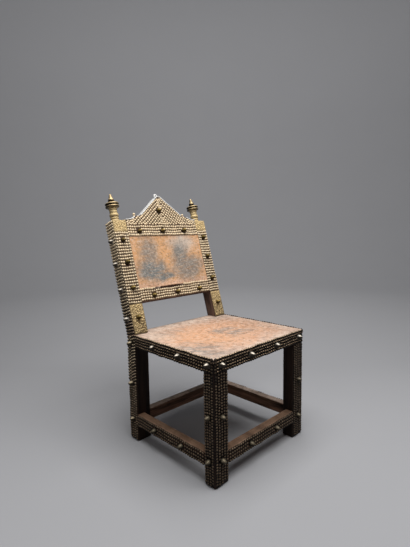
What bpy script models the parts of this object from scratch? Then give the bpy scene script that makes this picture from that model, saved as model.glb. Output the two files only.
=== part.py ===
"""Asipim chair: a wooden frame joined with tenons, two stretched hides and brass tack work.

Units are metres, +Z is up, the sitter faces -Y and the origin is on the floor, under the middle of the chair.
Right and left are the sitter's own: the right side is at -X.
"""

import math

import bmesh
import bpy
from mathutils import Vector

# Overall sizes
SEAT_HEIGHT = 0.400  # floor to the top of the seat hide, where the rear posts also bend
FRAME_WIDTH = 0.470  # across the outer faces of the legs and posts
SEAT_DEPTH = 0.391  # front face of the front legs to the front face of the rear posts
RAKE = math.radians(16.5)  # lean of the back

# Legs and rear posts
LEG_WIDTH = 0.060
LEG_DEPTH = 0.043
POST_WIDTH = 0.0565
POST_DEPTH = 0.050
STILE_LENGTH = 0.430  # bend of the post to its top, along the lean
FOOT_BEVEL = 0.003

# Seat rails and stretchers
RAIL_HEIGHT = 0.044
RAIL_THICKNESS = 0.030
STRETCHER_HEIGHT = 0.043
STRETCHER_THICKNESS = 0.030
STRETCHER_RISE = 0.060  # floor to the underside of a stretcher

# Back rails, with heights along the lean from the bend of the post
BACK_RAIL_THICKNESS = 0.026
LOWER_RAIL_RISE = 0.110
LOWER_RAIL_HEIGHT = 0.054
CREST_RISE = 0.365
SHOULDER_RISE = 0.431
KNOB_SEAT_RISE = 0.449
KNOB_SEAT_WIDTH = 0.0275
GABLE_HALF_WIDTH = 0.103
GABLE_RISE = 0.530
GABLE_FLAT = 0.010  # flat at the tip of the gable, where the eyelet stands

# Joinery
TENON_LENGTH = 0.018
TENON_THICKNESS = 0.012
TENON_SHOULDER = 0.007  # rail edge to the edge of its tenon
CREST_TENON_HEIGHT = 0.030
GAP = 0.0003  # clearance between pieces that touch or fit

# Hides
HIDE_THICKNESS = 0.0016
HIDE_MARGIN = 0.012  # how far the back hide runs under the tacks
HIDE_LIP = 0.012  # how far the seat hide turns down over the rails

# Tack fields: rows of small heads, drawn as ridges, and the larger bosses
TACK_PITCH = 0.0105
RAIL_TACK_PITCH = 0.0092  # rows on the seat rails lie closer
ARRIS_MARGIN = 0.0018  # bare wood along the arrises of the legs
TACK_PROUD = 0.0042
TACK_VALLEY = 0.0027  # between rows that hold a hide down
BARE_VALLEY = 0.0015  # between rows on bare wood
CREST_LEVEL_ROWS = 4  # level rows along the foot of the crest, below those that follow its slopes
FIELD_FLOOR_CLEARANCE = 0.006
BOSS_RADIUS = 0.0095
BOSS_PROUD = 0.0185
BOSS_SIDES = 10
STRETCHER_BOSS_SPREAD = 0.140  # between the two bosses of a stretcher
LOWER_BOSS_RISE = 0.0215  # lower edge of the lower back rail to its bosses
CREST_BOSS_RISE = 0.020  # lower edge of the crest to its row of bosses
CREST_BOSS_SPACING = 0.1135
CREST_BOSS_SHIFT = -0.0115  # the crest's bosses stand off the middle, to the sitter's right
STILE_BOSS_SHARES = (0.143, 0.395, 0.621, 0.820)  # heights of a stile's bosses, as shares of its length

# Sheet plates on the stile fronts
PLATE_THICKNESS = 0.0012
TOP_PLATE_HEIGHT = 0.045
FOOT_PLATE_RISE = 0.004

# Finials, knobs, eyelet and edging
FINIAL_NECK_RADIUS = 0.0150
FINIAL_RING_RADIUS = 0.0180
FINIAL_RING_HEIGHT = 0.0090
FINIAL_NECK_RINGS = 6
FINIAL_DISC_RADIUS = 0.0260
FINIAL_DISC_HEIGHT = 0.0066
FINIAL_DISC_ROUND = 0.0015
FINIAL_GROOVE_RADIUS = 0.0205
FINIAL_GROOVE_HEIGHT = 0.0030
FINIAL_BULB_RADIUS = 0.0090
FINIAL_SPIKE_HEIGHT = 0.0380
FINIAL_TIP_RADIUS = 0.0016
TANG_RADIUS = 0.0060
TANG_LENGTH = 0.018
TURNED_SIDES = 16
KNOB_RADIUS = 0.0054
KNOB_NECK_RADIUS = 0.0036
KNOB_NECK_HEIGHT = 0.0040
KNOB_STEM_RADIUS = 0.0025
KNOB_STEM_LENGTH = 0.010
EYELET_RADIUS = 0.0090
EYELET_HOLE_RADIUS = 0.0036
EYELET_THICKNESS = 0.0050
EYELET_SHANK_RADIUS = 0.0022
EYELET_SHANK_LENGTH = 0.012
EDGING_THICKNESS = 0.0020
SCOOP_STEPS = 8

# Sizes worked out from those above
HALF_WIDTH = FRAME_WIDTH / 2
OPENING_HALF = HALF_WIDTH - POST_WIDTH
RAIL_TOP = SEAT_HEIGHT - HIDE_THICKNESS - GAP
RAIL_BOTTOM = RAIL_TOP - RAIL_HEIGHT
LOWER_RAIL_TOP = LOWER_RAIL_RISE + LOWER_RAIL_HEIGHT
SCOOP_X = GABLE_HALF_WIDTH + KNOB_SEAT_WIDTH
KNOB_X = SCOOP_X - KNOB_RADIUS
LEVEL_ROWS_TOP = CREST_RISE + CREST_LEVEL_ROWS * TACK_PITCH
FIELD_TOP = SEAT_HEIGHT - GAP
STRETCHER_MIDDLE = STRETCHER_RISE + STRETCHER_HEIGHT / 2
SIDES = (("right", -1), ("left", 1))

# Finishes: base colour, roughness and metallic value
FINISHES = {
    "wood": ((0.045, 0.028, 0.018, 1.0), 0.6, 0.0),
    "hide": ((0.42, 0.22, 0.12, 1.0), 0.7, 0.0),
    "brass": ((0.45, 0.34, 0.16, 1.0), 0.4, 1.0),
    "white_metal": ((0.75, 0.74, 0.70, 1.0), 0.35, 1.0),
}


def clear_scene():
    for obj in list(bpy.data.objects):
        bpy.data.objects.remove(obj, do_unlink=True)


def material_for(name, finish):
    color, roughness, metallic = FINISHES[finish]
    material = bpy.data.materials.new(f"{name}_{finish}")
    material.use_nodes = True
    shader = material.node_tree.nodes["Principled BSDF"]
    shader.inputs["Base Color"].default_value = color
    shader.inputs["Roughness"].default_value = roughness
    shader.inputs["Metallic"].default_value = metallic
    return material


def add_object(name, bm, parent, location=(0, 0, 0), turn=0.0, finish=None, smooth=False):
    """An object made from bm. With no finish it is a hidden helper that cuts or joins."""
    bmesh.ops.recalc_face_normals(bm, faces=bm.faces)
    mesh = bpy.data.meshes.new(name)
    bm.to_mesh(mesh)
    bm.free()
    obj = bpy.data.objects.new(name, mesh)
    bpy.context.collection.objects.link(obj)
    obj.parent = parent
    obj.location = location
    obj.rotation_euler = (0, 0, turn)
    if finish:
        mesh.materials.append(material_for(name, finish))
    else:
        obj.hide_render = True
        obj.display_type = "WIRE"
    if smooth:
        mesh.shade_smooth()
        mesh.set_sharp_from_angle(angle=math.radians(40))
    return obj


def add_empty(name, parent, location, tilt=0.0):
    empty = bpy.data.objects.new(name, None)
    bpy.context.collection.objects.link(empty)
    empty.parent = parent
    empty.location = location
    empty.rotation_euler = (tilt, 0, 0)
    return empty


def boolean(obj, operation, other):
    modifier = obj.modifiers.new(f"{operation.lower()} {other.name}", "BOOLEAN")
    modifier.operation = operation
    modifier.solver = "EXACT"
    modifier.object = other


def add_loft(bm, rings):
    """A closed skin through rings of equal length, with flat ends."""
    loops = [[bm.verts.new(point) for point in ring] for ring in rings]
    for low, high in zip(loops, loops[1:]):
        for i in range(len(low)):
            j = (i + 1) % len(low)
            bm.faces.new((low[i], low[j], high[j], high[i]))
    bm.faces.new(loops[0])
    bm.faces.new(loops[-1])


def add_box(bm, low, high):
    """An upright box between two corners."""
    corners = ((low[0], low[1]), (high[0], low[1]), (high[0], high[1]), (low[0], high[1]))
    add_loft(bm, [[(x, y, z) for x, y in corners] for z in (low[2], high[2])])


def add_turned(bm, profile, place, sides):
    """A solid turned about an axis: profile is (radius, height) pairs, place maps x, y, height to a point."""
    rings = []
    for radius, height in profile:
        angles = [2 * math.pi * i / sides for i in range(sides)]
        rings.append([place(radius * math.cos(a), radius * math.sin(a), height) for a in angles])
    add_loft(bm, rings)


def add_prism(bm, outline, start, end, place):
    """An outline of (a, b) points carried from start to end. place maps a, b and the distance to a point."""
    add_loft(bm, [[place(a, b, distance) for a, b in outline] for distance in (start, end)])


def along_x(a, b, distance):
    return Vector((distance, a, b))


def along_y(a, b, distance):
    return Vector((a, distance, b))


def along_z(a, b, distance):
    return Vector((a, b, distance))


def out_of_face(a, b, distance):
    """A face's own frame: a across it, b up it, and the distance out of it towards -Y."""
    return Vector((a, -distance, b))


def bevel_feet(bm):
    """Takes the sharp arris off the edges that meet the floor."""
    low = min(vert.co.z for vert in bm.verts)
    edges = [edge for edge in bm.edges if all(abs(vert.co.z - low) < GAP for vert in edge.verts)]
    bmesh.ops.bevel(bm, geom=edges, offset=FOOT_BEVEL, segments=1, affect="EDGES")


def back_reach():
    """How far the finials' discs reach back from the front face of the front legs."""
    reaches = []
    for radius, height in finial_profile():
        depth = POST_DEPTH / 2 + radius
        rise = STILE_LENGTH + height
        reaches.append(SEAT_DEPTH + depth * math.cos(RAKE) + rise * math.sin(RAKE))
    return max(reaches)


def front_leg(name, side, chair):
    bm = bmesh.new()
    outer = side * HALF_WIDTH
    inner = side * (HALF_WIDTH - LEG_WIDTH)
    add_box(bm, (min(outer, inner), 0, 0), (max(outer, inner), LEG_DEPTH, RAIL_TOP))
    bevel_feet(bm)
    return add_object(name, bm, chair, finish="wood")


def rear_post(name, side, chair):
    """A leg and a stile in one piece, bent at seat height, with a square top."""
    sine, cosine = math.sin(RAKE), math.cos(RAKE)
    front_top = Vector((SEAT_DEPTH + STILE_LENGTH * sine, SEAT_HEIGHT + STILE_LENGTH * cosine))
    back_top = front_top + Vector((POST_DEPTH * cosine, -POST_DEPTH * sine))
    back_bend = (SEAT_DEPTH + POST_DEPTH, SEAT_HEIGHT - POST_DEPTH * math.tan(RAKE / 2))
    outline = [
        (SEAT_DEPTH, 0),
        (SEAT_DEPTH, SEAT_HEIGHT),
        front_top,
        back_top,
        back_bend,
        (SEAT_DEPTH + POST_DEPTH, 0),
    ]
    bm = bmesh.new()
    add_prism(bm, outline, side * OPENING_HALF, side * HALF_WIDTH, along_x)
    bevel_feet(bm)
    return add_object(name, bm, chair, finish="wood")


def rail(name, span, height, thickness, parent, location, turn=0.0):
    """A bar along its own X with a tenon at each end, and the helper that cuts both mortises."""
    tenon_low, tenon_high = TENON_SHOULDER, height - TENON_SHOULDER
    half = span / 2

    def section(x, half_thickness, low, high):
        return [
            (x, -half_thickness, low),
            (x, half_thickness, low),
            (x, half_thickness, high),
            (x, -half_thickness, high),
        ]

    def tenon(x):
        return section(x, TENON_THICKNESS / 2, tenon_low, tenon_high)

    def body(x):
        return section(x, thickness / 2, 0, height)

    end = half + TENON_LENGTH
    bm = bmesh.new()
    add_loft(bm, [tenon(-end), tenon(-half), body(-half), body(half), tenon(half), tenon(end)])
    bar = add_object(name, bm, parent, location, turn, finish="wood")
    cuts = mortise_cutter(name, half, tenon_low, tenon_high, bar)
    return bar, cuts


def mortise_cutter(name, half, tenon_low, tenon_high, bar, middle=0.0):
    """Boxes that a bar's two tenons fit with clearance all round, from just outside the shoulders."""
    half_slot = TENON_THICKNESS / 2 + GAP
    bm = bmesh.new()
    for sign in (-1, 1):
        ends = sorted((sign * (half - TENON_SHOULDER), sign * (half + TENON_LENGTH + GAP)))
        add_box(
            bm,
            (ends[0], middle - half_slot, tenon_low - GAP),
            (ends[1], middle + half_slot, tenon_high + GAP),
        )
    return add_object(f"{name}_mortises", bm, bar)


def scoop_points(offset=0.0, start=0.0):
    """The hollow shoulder of the crest, from the knob's seat to the stile, moved out by offset."""
    across = OPENING_HALF - GAP - SCOOP_X
    drop = KNOB_SEAT_RISE - SHOULDER_RISE
    points = []
    for i in range(SCOOP_STEPS + 1):
        angle = start + (math.pi / 2 - start) * i / SCOOP_STEPS
        tangent = Vector((across * math.sin(angle), -drop * math.cos(angle))).normalized()
        x = SCOOP_X + across * (1 - math.cos(angle)) - tangent.y * offset
        rise = KNOB_SEAT_RISE - drop * math.sin(angle) + tangent.x * offset
        points.append((x, rise))
    return points


def crest_outline():
    """The whole outline of the crest: its straight lower edge, then its top from stile to stile."""
    half = [(GABLE_FLAT / 2, GABLE_RISE), (GABLE_HALF_WIDTH, KNOB_SEAT_RISE)] + scoop_points()
    end = OPENING_HALF - GAP
    mirrored = [(-x, rise) for x, rise in reversed(half)]
    return [(end, CREST_RISE), (-end, CREST_RISE)] + mirrored + half


def crest_rail(back):
    """The gabled top rail, its tenons joined on, and the helper that cuts their mortises."""
    half = OPENING_HALF - GAP
    middle = BACK_RAIL_THICKNESS / 2
    tenon_low = CREST_RISE + TENON_SHOULDER
    tenon_high = tenon_low + CREST_TENON_HEIGHT
    bm = bmesh.new()
    add_prism(bm, crest_outline(), 0, BACK_RAIL_THICKNESS, along_y)
    crest = add_object("crest_rail", bm, back, finish="wood")
    end = half + TENON_LENGTH
    bm = bmesh.new()
    add_box(
        bm,
        (-end, middle - TENON_THICKNESS / 2, tenon_low),
        (end, middle + TENON_THICKNESS / 2, tenon_high),
    )
    boolean(crest, "UNION", add_object("crest_rail_tenons", bm, back))
    return crest, mortise_cutter("crest_rail", half, tenon_low, tenon_high, crest, middle)


def build_frame(chair, back):
    """The wooden frame. Each leg and post is cut by the mortises of the rails that meet in it."""
    legs = {name: front_leg(f"front_leg_{name}", side, chair) for name, side in SIDES}
    posts = {name: rear_post(f"rear_post_{name}", side, chair) for name, side in SIDES}
    front_span = FRAME_WIDTH - 2 * (LEG_WIDTH + GAP)
    rear_span = 2 * (OPENING_HALF - GAP)
    side_span = SEAT_DEPTH - LEG_DEPTH - 2 * GAP
    side_middle = (SEAT_DEPTH + LEG_DEPTH) / 2
    rear_middle = SEAT_DEPTH + POST_DEPTH / 2
    levels = (
        ("seat_rail", RAIL_BOTTOM, RAIL_HEIGHT, RAIL_THICKNESS),
        ("stretcher", STRETCHER_RISE, STRETCHER_HEIGHT, STRETCHER_THICKNESS),
    )
    for kind, rise, height, thickness in levels:
        size = (height, thickness)
        _, front_cuts = rail(f"front_{kind}", front_span, *size, chair, (0, thickness / 2, rise))
        _, rear_cuts = rail(f"rear_{kind}", rear_span, *size, chair, (0, rear_middle, rise))
        for name, side in SIDES:
            place = (side * (HALF_WIDTH - thickness / 2), side_middle, rise)
            bar_name = f"side_{kind}_{name}"
            _, side_cuts = rail(bar_name, side_span, *size, chair, place, math.pi / 2)
            boolean(legs[name], "DIFFERENCE", front_cuts)
            boolean(legs[name], "DIFFERENCE", side_cuts)
            boolean(posts[name], "DIFFERENCE", rear_cuts)
            boolean(posts[name], "DIFFERENCE", side_cuts)
    place = (0, BACK_RAIL_THICKNESS / 2, LOWER_RAIL_RISE)
    lower_size = (LOWER_RAIL_HEIGHT, BACK_RAIL_THICKNESS)
    _, lower_cuts = rail("lower_back_rail", rear_span, *lower_size, back, place)
    crest, crest_cuts = crest_rail(back)
    for name, _ in SIDES:
        boolean(posts[name], "DIFFERENCE", lower_cuts)
        boolean(posts[name], "DIFFERENCE", crest_cuts)
    return posts, crest


def seat_hide(chair):
    """A sheet over the seat rails, cut round the posts, with its front and side edges turned down."""
    outer = HALF_WIDTH + GAP + HIDE_THICKNESS
    neck = OPENING_HALF - GAP
    front = -GAP - HIDE_THICKNESS
    waist = SEAT_DEPTH - GAP
    rear = SEAT_DEPTH + (POST_DEPTH + RAIL_THICKNESS) / 2
    outline = [
        (-outer, front),
        (outer, front),
        (outer, waist),
        (neck, waist),
        (neck, rear),
        (-neck, rear),
        (-neck, waist),
        (-outer, waist),
    ]
    bm = bmesh.new()
    add_prism(bm, outline, SEAT_HEIGHT - HIDE_LIP, SEAT_HEIGHT, along_z)
    hide = add_object("seat_hide", bm, chair, finish="hide")
    inside = HALF_WIDTH + GAP
    bm = bmesh.new()
    add_box(
        bm,
        (-inside, -GAP, SEAT_HEIGHT - 2 * HIDE_LIP),
        (inside, rear + HIDE_LIP, SEAT_HEIGHT - HIDE_THICKNESS),
    )
    boolean(hide, "DIFFERENCE", add_object("seat_hide_underside", bm, chair))


def seat_lip_room(chair):
    """The room that the turned-down edges of the seat hide take behind the rail tacks."""
    bm = bmesh.new()
    reach = HIDE_THICKNESS + 2 * GAP
    low = SEAT_HEIGHT - HIDE_LIP - GAP
    add_box(
        bm,
        (-HALF_WIDTH - reach, -reach, low),
        (HALF_WIDTH + reach, SEAT_DEPTH + LEG_DEPTH, SEAT_HEIGHT + HIDE_LIP),
    )
    return add_object("seat_lip_room", bm, chair)


def back_hide_box(grow):
    """Corners of the back hide's sheet, grown on every side."""
    across = OPENING_HALF + HIDE_MARGIN + grow
    low = LOWER_RAIL_TOP - HIDE_MARGIN - grow
    high = CREST_RISE + HIDE_MARGIN + grow
    front = -GAP - HIDE_THICKNESS - grow
    return (-across, front, low), (across, -GAP + grow, high)


def back_hide(back):
    """The sheet over the opening of the back, and the room that its edges take under the tacks."""
    bm = bmesh.new()
    add_box(bm, *back_hide_box(0.0))
    add_object("back_hide", bm, back, finish="hide")
    bm = bmesh.new()
    add_box(bm, *back_hide_box(GAP))
    return add_object("back_hide_room", bm, back)


def ridged_edge(start, end, root, valley, pitch=TACK_PITCH):
    """Outline of row after row of tacks seen end on: (position, height off the wood), from root to root."""
    rows = max(2, round((end - start) / pitch))
    step = (end - start) / rows
    points = [(start, root), (start, valley)]
    for row in range(rows):
        points.append((start + (row + 0.5) * step, TACK_PROUD))
        points.append((start + (row + 1) * step, valley))
    return points + [(end, root)]


def upright(across, out, rise):
    """A face's own frame, for an outline across it that is carried up it."""
    return Vector((across, -out, rise))


def crosswise(rise, out, across):
    """A face's own frame, for an outline up it that is carried across it."""
    return Vector((across, -out, rise))


def add_boss(bm, x, z, sheet):
    """One large domed boss, rooted in a sheet of that thickness, at x across its face and z up it."""
    dome = BOSS_PROUD - TACK_PROUD
    profile = [(BOSS_RADIUS, GAP + sheet / 2)]
    for degrees in (0, 40, 70):
        angle = math.radians(degrees)
        profile.append((BOSS_RADIUS * math.cos(angle), TACK_PROUD + dome * math.sin(angle)))
    profile[-1] = (profile[-1][0], BOSS_PROUD)
    add_turned(bm, profile, lambda a, b, h: Vector((x + a, -h, z + b)), BOSS_SIDES)


def add_bosses(field, spots, sheet):
    bm = bmesh.new()
    for x, z in spots:
        add_boss(bm, x, z, sheet)
    turn = field.rotation_euler.z
    bosses = add_object(f"{field.name}_bosses", bm, field.parent, field.location, turn)
    boolean(field, "UNION", bosses)


def tack_field(name, size, rows, spots, parent, location, turn=0.0, valley=BARE_VALLEY, pitch=TACK_PITCH):
    """The joined heads of one field of tacks. Rows run across or up the face, and bosses stand at spots.

    The field's frame has X across the face, Z up it from the field's lower edge, and the face towards -Y.
    """
    width, height = size
    half = width / 2
    bm = bmesh.new()
    if rows == "across":
        add_prism(bm, ridged_edge(0, height, GAP, valley, pitch), -half, half, crosswise)
    else:
        add_prism(bm, ridged_edge(-half, half, GAP, valley, pitch), 0, height, upright)
    field = add_object(name, bm, parent, location, turn, finish="brass")
    add_bosses(field, spots, valley - GAP)
    return field


def leg_boss_rises():
    """Heights of the bosses on a leg: at the stretcher, and half way from there to the seat rail."""
    return STRETCHER_MIDDLE, (STRETCHER_MIDDLE + RAIL_BOTTOM) / 2


def leg_fields(chair):
    """The tacks on the front and outer faces of the front legs, and on the outer faces of the rear legs."""
    height = RAIL_BOTTOM - GAP - FIELD_FLOOR_CLEARANCE
    spots = [(0, rise - FIELD_FLOOR_CLEARANCE) for rise in leg_boss_rises()]
    rear_height = SEAT_HEIGHT - POST_DEPTH * math.sin(RAKE) - GAP - FIELD_FLOOR_CLEARANCE
    rear_spots = spots + [(0, rear_height - 2 * BOSS_RADIUS)]
    for name, side in SIDES:
        turn = side * math.pi / 2
        place = (side * (HALF_WIDTH - LEG_WIDTH / 2), 0, FIELD_FLOOR_CLEARANCE)
        size = (LEG_WIDTH - 2 * ARRIS_MARGIN, height)
        tack_field(f"front_leg_front_tacks_{name}", size, "up", spots, chair, place)
        place = (side * HALF_WIDTH, LEG_DEPTH / 2, FIELD_FLOOR_CLEARANCE)
        size = (LEG_DEPTH - 2 * ARRIS_MARGIN, height)
        tack_field(f"front_leg_side_tacks_{name}", size, "up", spots, chair, place, turn)
        place = (side * HALF_WIDTH, SEAT_DEPTH + POST_DEPTH / 2, FIELD_FLOOR_CLEARANCE)
        size = (POST_DEPTH - 2 * ARRIS_MARGIN, rear_height)
        tack_field(f"rear_leg_side_tacks_{name}", size, "up", rear_spots, chair, place, turn)


def seat_rail_fields(chair, lip_room):
    """The tacks on the seat rails, which run on over the tops of the front legs."""
    height = FIELD_TOP - RAIL_BOTTOM
    leg_middle = HALF_WIDTH - LEG_WIDTH / 2
    spots = [(leg_middle * share, height / 2) for share in (-1, -1 / 3, 1 / 3, 1)]
    size = (FRAME_WIDTH, height)
    place = (0, 0, RAIL_BOTTOM)
    rows = {"valley": TACK_VALLEY, "pitch": RAIL_TACK_PITCH}
    front = tack_field("front_rail_tacks", size, "across", spots, chair, place, **rows)
    boolean(front, "DIFFERENCE", lip_room)
    run = SEAT_DEPTH - GAP
    first = LEG_DEPTH / 2
    step = (SEAT_DEPTH + POST_DEPTH / 2 - first) / 3
    for name, side in SIDES:
        spots = [(side * (first + step * i - run / 2), height / 2) for i in range(3)]
        place = (side * HALF_WIDTH, run / 2, RAIL_BOTTOM)
        turn = side * math.pi / 2
        size = (run, height)
        field_name = f"side_rail_tacks_{name}"
        field = tack_field(field_name, size, "across", spots, chair, place, turn, **rows)
        boolean(field, "DIFFERENCE", lip_room)


def stretcher_fields(chair):
    """The tacks on the outer faces of the front and side stretchers."""
    front_run = FRAME_WIDTH - 2 * (LEG_WIDTH + GAP)
    side_run = SEAT_DEPTH - LEG_DEPTH - 2 * GAP
    half = STRETCHER_BOSS_SPREAD / 2
    spots = [(-half, STRETCHER_HEIGHT / 2), (half, STRETCHER_HEIGHT / 2)]
    size = (front_run, STRETCHER_HEIGHT)
    place = (0, 0, STRETCHER_RISE)
    tack_field("front_stretcher_tacks", size, "across", spots, chair, place)
    size = (side_run, STRETCHER_HEIGHT)
    for name, side in SIDES:
        place = (side * HALF_WIDTH, (SEAT_DEPTH + LEG_DEPTH) / 2, STRETCHER_RISE)
        turn = side * math.pi / 2
        tack_field(f"side_stretcher_tacks_{name}", size, "across", spots, chair, place, turn)


def stile_fields(back, hide_room):
    """The tacks on the fronts and outer sides of the stiles."""
    rises = [STILE_LENGTH * share for share in STILE_BOSS_SHARES]
    height = STILE_LENGTH - TOP_PLATE_HEIGHT - GAP - LOWER_RAIL_RISE
    for name, side in SIDES:
        spots = [(0, rise - LOWER_RAIL_RISE) for rise in rises[1:]]
        place = (side * (HALF_WIDTH - POST_WIDTH / 2), 0, LOWER_RAIL_RISE)
        size = (POST_WIDTH, height)
        field_name = f"stile_front_tacks_{name}"
        front = tack_field(field_name, size, "across", spots, back, place, valley=TACK_VALLEY)
        boolean(front, "DIFFERENCE", hide_room)
        spots = [(0, rise) for rise in rises]
        place = (side * HALF_WIDTH, POST_DEPTH / 2, 0)
        turn = side * math.pi / 2
        size = (POST_DEPTH, STILE_LENGTH)
        tack_field(f"stile_side_tacks_{name}", size, "across", spots, back, place, turn)


def lower_rail_field(back, hide_room):
    """The tacks on the lower back rail."""
    run = 2 * (OPENING_HALF - GAP)
    spots = [(run / 3 * i, LOWER_BOSS_RISE) for i in (-1, 0, 1)]
    place = (0, 0, LOWER_RAIL_RISE)
    size = (run, LOWER_RAIL_HEIGHT)
    lower = tack_field("lower_rail_tacks", size, "across", spots, back, place, valley=TACK_VALLEY)
    boolean(lower, "DIFFERENCE", hide_room)


def level_rows(back, root, valley):
    """A helper with the level rows of tacks along the foot of the crest."""
    half = OPENING_HALF - 3 * GAP
    bm = bmesh.new()
    outline = ridged_edge(CREST_RISE + 2 * GAP, LEVEL_ROWS_TOP, root, valley)
    add_prism(bm, outline, -half, half, crosswise)
    return add_object("crest_level_rows", bm, back)


def slope_rows(name, side, back, root, valley):
    """A helper with rows of tacks along one slope of the gable, kept to that half of the crest."""
    foot = Vector((side * GABLE_HALF_WIDTH, KNOB_SEAT_RISE))
    tip = Vector((side * GABLE_FLAT / 2, GABLE_RISE))
    along = (tip - foot).normalized()
    inward = Vector((-side * along.y, side * along.x))

    def place(depth, out, run):
        spot = foot + inward * depth + along * run
        return Vector((spot.x, -out, spot.y))

    above = round((OPENING_HALF - GABLE_HALF_WIDTH) * abs(along.y) / TACK_PITCH)
    below = round(OPENING_HALF / TACK_PITCH)
    bm = bmesh.new()
    outline = ridged_edge(-above * TACK_PITCH, below * TACK_PITCH, root, valley)
    add_prism(bm, outline, -OPENING_HALF, OPENING_HALF, place)
    rows = add_object(f"crest_slope_rows_{name}", bm, back)
    inset = 2 * GAP
    top = [(GABLE_FLAT / 2, GABLE_RISE), (GABLE_HALF_WIDTH, KNOB_SEAT_RISE)] + scoop_points()
    edge = [(x - inset, rise - inset) for x, rise in top]
    low = LEVEL_ROWS_TOP + inset
    outline = [(inset, low), (inset, GABLE_RISE - inset)] + edge + [(edge[-1][0], low)]
    bm = bmesh.new()
    add_prism(bm, [(side * x, rise) for x, rise in outline], 0, BOSS_PROUD, out_of_face)
    boolean(rows, "INTERSECT", add_object(f"crest_half_{name}", bm, back))
    return rows


def crest_field(back, hide_room):
    """The tacks on the gabled crest: level rows above the hide, and rows that follow each slope."""
    root = (GAP + TACK_VALLEY) / 2
    valley = TACK_VALLEY - GAP
    bm = bmesh.new()
    add_prism(bm, crest_outline(), GAP, TACK_VALLEY, out_of_face)
    crest = add_object("crest_tacks", bm, back, finish="brass")
    boolean(crest, "UNION", level_rows(back, root, valley))
    for name, side in SIDES:
        boolean(crest, "UNION", slope_rows(name, side, back, root, valley))
    middle = CREST_BOSS_SHIFT
    row_rise = CREST_RISE + CREST_BOSS_RISE
    spots = [(middle + CREST_BOSS_SPACING * i, row_rise) for i in (-1, 0, 1)]
    spots.append((middle, (SHOULDER_RISE + GABLE_RISE) / 2 - BOSS_RADIUS))
    add_bosses(crest, spots, valley - GAP)
    boolean(crest, "DIFFERENCE", hide_room)


def stile_plates(back):
    """Embossed sheet plates on the stile fronts, at the top and just above the seat."""
    foot_boss_rise = STILE_LENGTH * STILE_BOSS_SHARES[0]
    spans = (
        ("top_plate", STILE_LENGTH - TOP_PLATE_HEIGHT, STILE_LENGTH, []),
        ("foot_plate", FOOT_PLATE_RISE, LOWER_RAIL_RISE - GAP, [foot_boss_rise]),
    )
    for name, side in SIDES:
        place = (side * (HALF_WIDTH - POST_WIDTH / 2), 0, 0)
        for kind, low, high, boss_rises in spans:
            bm = bmesh.new()
            half = POST_WIDTH / 2
            add_box(bm, (-half, -GAP - PLATE_THICKNESS, low), (half, -GAP, high))
            plate = add_object(f"stile_{kind}_{name}", bm, back, place, finish="brass")
            if boss_rises:
                add_bosses(plate, [(0, rise) for rise in boss_rises], PLATE_THICKNESS)


def finial_profile():
    """The turned finial above the stile: a ringed neck, a double disc, and a bulb drawn out to a tip."""
    profile = []
    neck_top = FINIAL_RING_HEIGHT * FINIAL_NECK_RINGS
    for ring in range(FINIAL_NECK_RINGS):
        low = GAP + ring * FINIAL_RING_HEIGHT
        profile.append((FINIAL_NECK_RADIUS, low))
        profile.append((FINIAL_RING_RADIUS, low + FINIAL_RING_HEIGHT / 2))
    profile.append((FINIAL_NECK_RADIUS, neck_top))
    for disc in range(2):
        low = neck_top + FINIAL_GROOVE_HEIGHT + disc * (FINIAL_DISC_HEIGHT + FINIAL_GROOVE_HEIGHT)
        high = low + FINIAL_DISC_HEIGHT
        profile.append((FINIAL_GROOVE_RADIUS, low))
        profile.append((FINIAL_DISC_RADIUS, low + FINIAL_DISC_ROUND))
        profile.append((FINIAL_DISC_RADIUS, high - FINIAL_DISC_ROUND))
        profile.append((FINIAL_GROOVE_RADIUS, high))
    bulb = high
    for degrees in (-60, -20, 20, 55):
        angle = math.radians(degrees)
        rise = FINIAL_BULB_RADIUS * (1 + math.sin(angle))
        profile.append((FINIAL_BULB_RADIUS * math.cos(angle), bulb + rise))
    profile.append((FINIAL_TIP_RADIUS, bulb + FINIAL_SPIKE_HEIGHT))
    return profile


def finials(back, posts):
    """Each finial stands on the square top of a stile, with its tang in a bored hole."""
    for name, side in SIDES:
        place = (side * (HALF_WIDTH - POST_WIDTH / 2), POST_DEPTH / 2, STILE_LENGTH)
        tang = [(TANG_RADIUS, -TANG_LENGTH), (TANG_RADIUS, GAP)]
        bm = bmesh.new()
        add_turned(bm, tang + finial_profile(), along_z, TURNED_SIDES)
        add_object(f"finial_{name}", bm, back, place, finish="brass", smooth=True)
        bore = TANG_RADIUS + GAP
        hole = [(bore, -TANG_LENGTH - GAP), (bore, TANG_LENGTH)]
        bm = bmesh.new()
        add_turned(bm, hole, along_z, TURNED_SIDES)
        boolean(posts[name], "DIFFERENCE", add_object(f"finial_{name}_bore", bm, back, place))


def stud_bore(name, place, radius, depth, back):
    """A helper that bores a hole down from a seat, for the stem of a knob or an eyelet."""
    bm = bmesh.new()
    add_turned(bm, [(radius + GAP, -depth - GAP), (radius + GAP, depth)], along_z, TURNED_SIDES)
    return add_object(f"{name}_bore", bm, back, place)


def crest_knobs(back, crest):
    for name, side in SIDES:
        profile = [(KNOB_STEM_RADIUS, -KNOB_STEM_LENGTH), (KNOB_STEM_RADIUS, GAP), (KNOB_NECK_RADIUS, GAP)]
        for degrees in (-50, -25, 0, 30, 65):
            angle = math.radians(degrees)
            rise = KNOB_NECK_HEIGHT + KNOB_RADIUS * (1 + math.sin(angle))
            profile.append((KNOB_RADIUS * math.cos(angle), rise))
        bm = bmesh.new()
        add_turned(bm, profile, along_z, TURNED_SIDES)
        place = (side * KNOB_X, BACK_RAIL_THICKNESS / 2, KNOB_SEAT_RISE)
        knob = f"crest_knob_{name}"
        add_object(knob, bm, back, place, finish="brass", smooth=True)
        bore = stud_bore(knob, place, KNOB_STEM_RADIUS, KNOB_STEM_LENGTH, back)
        boolean(crest, "DIFFERENCE", bore)


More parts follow.
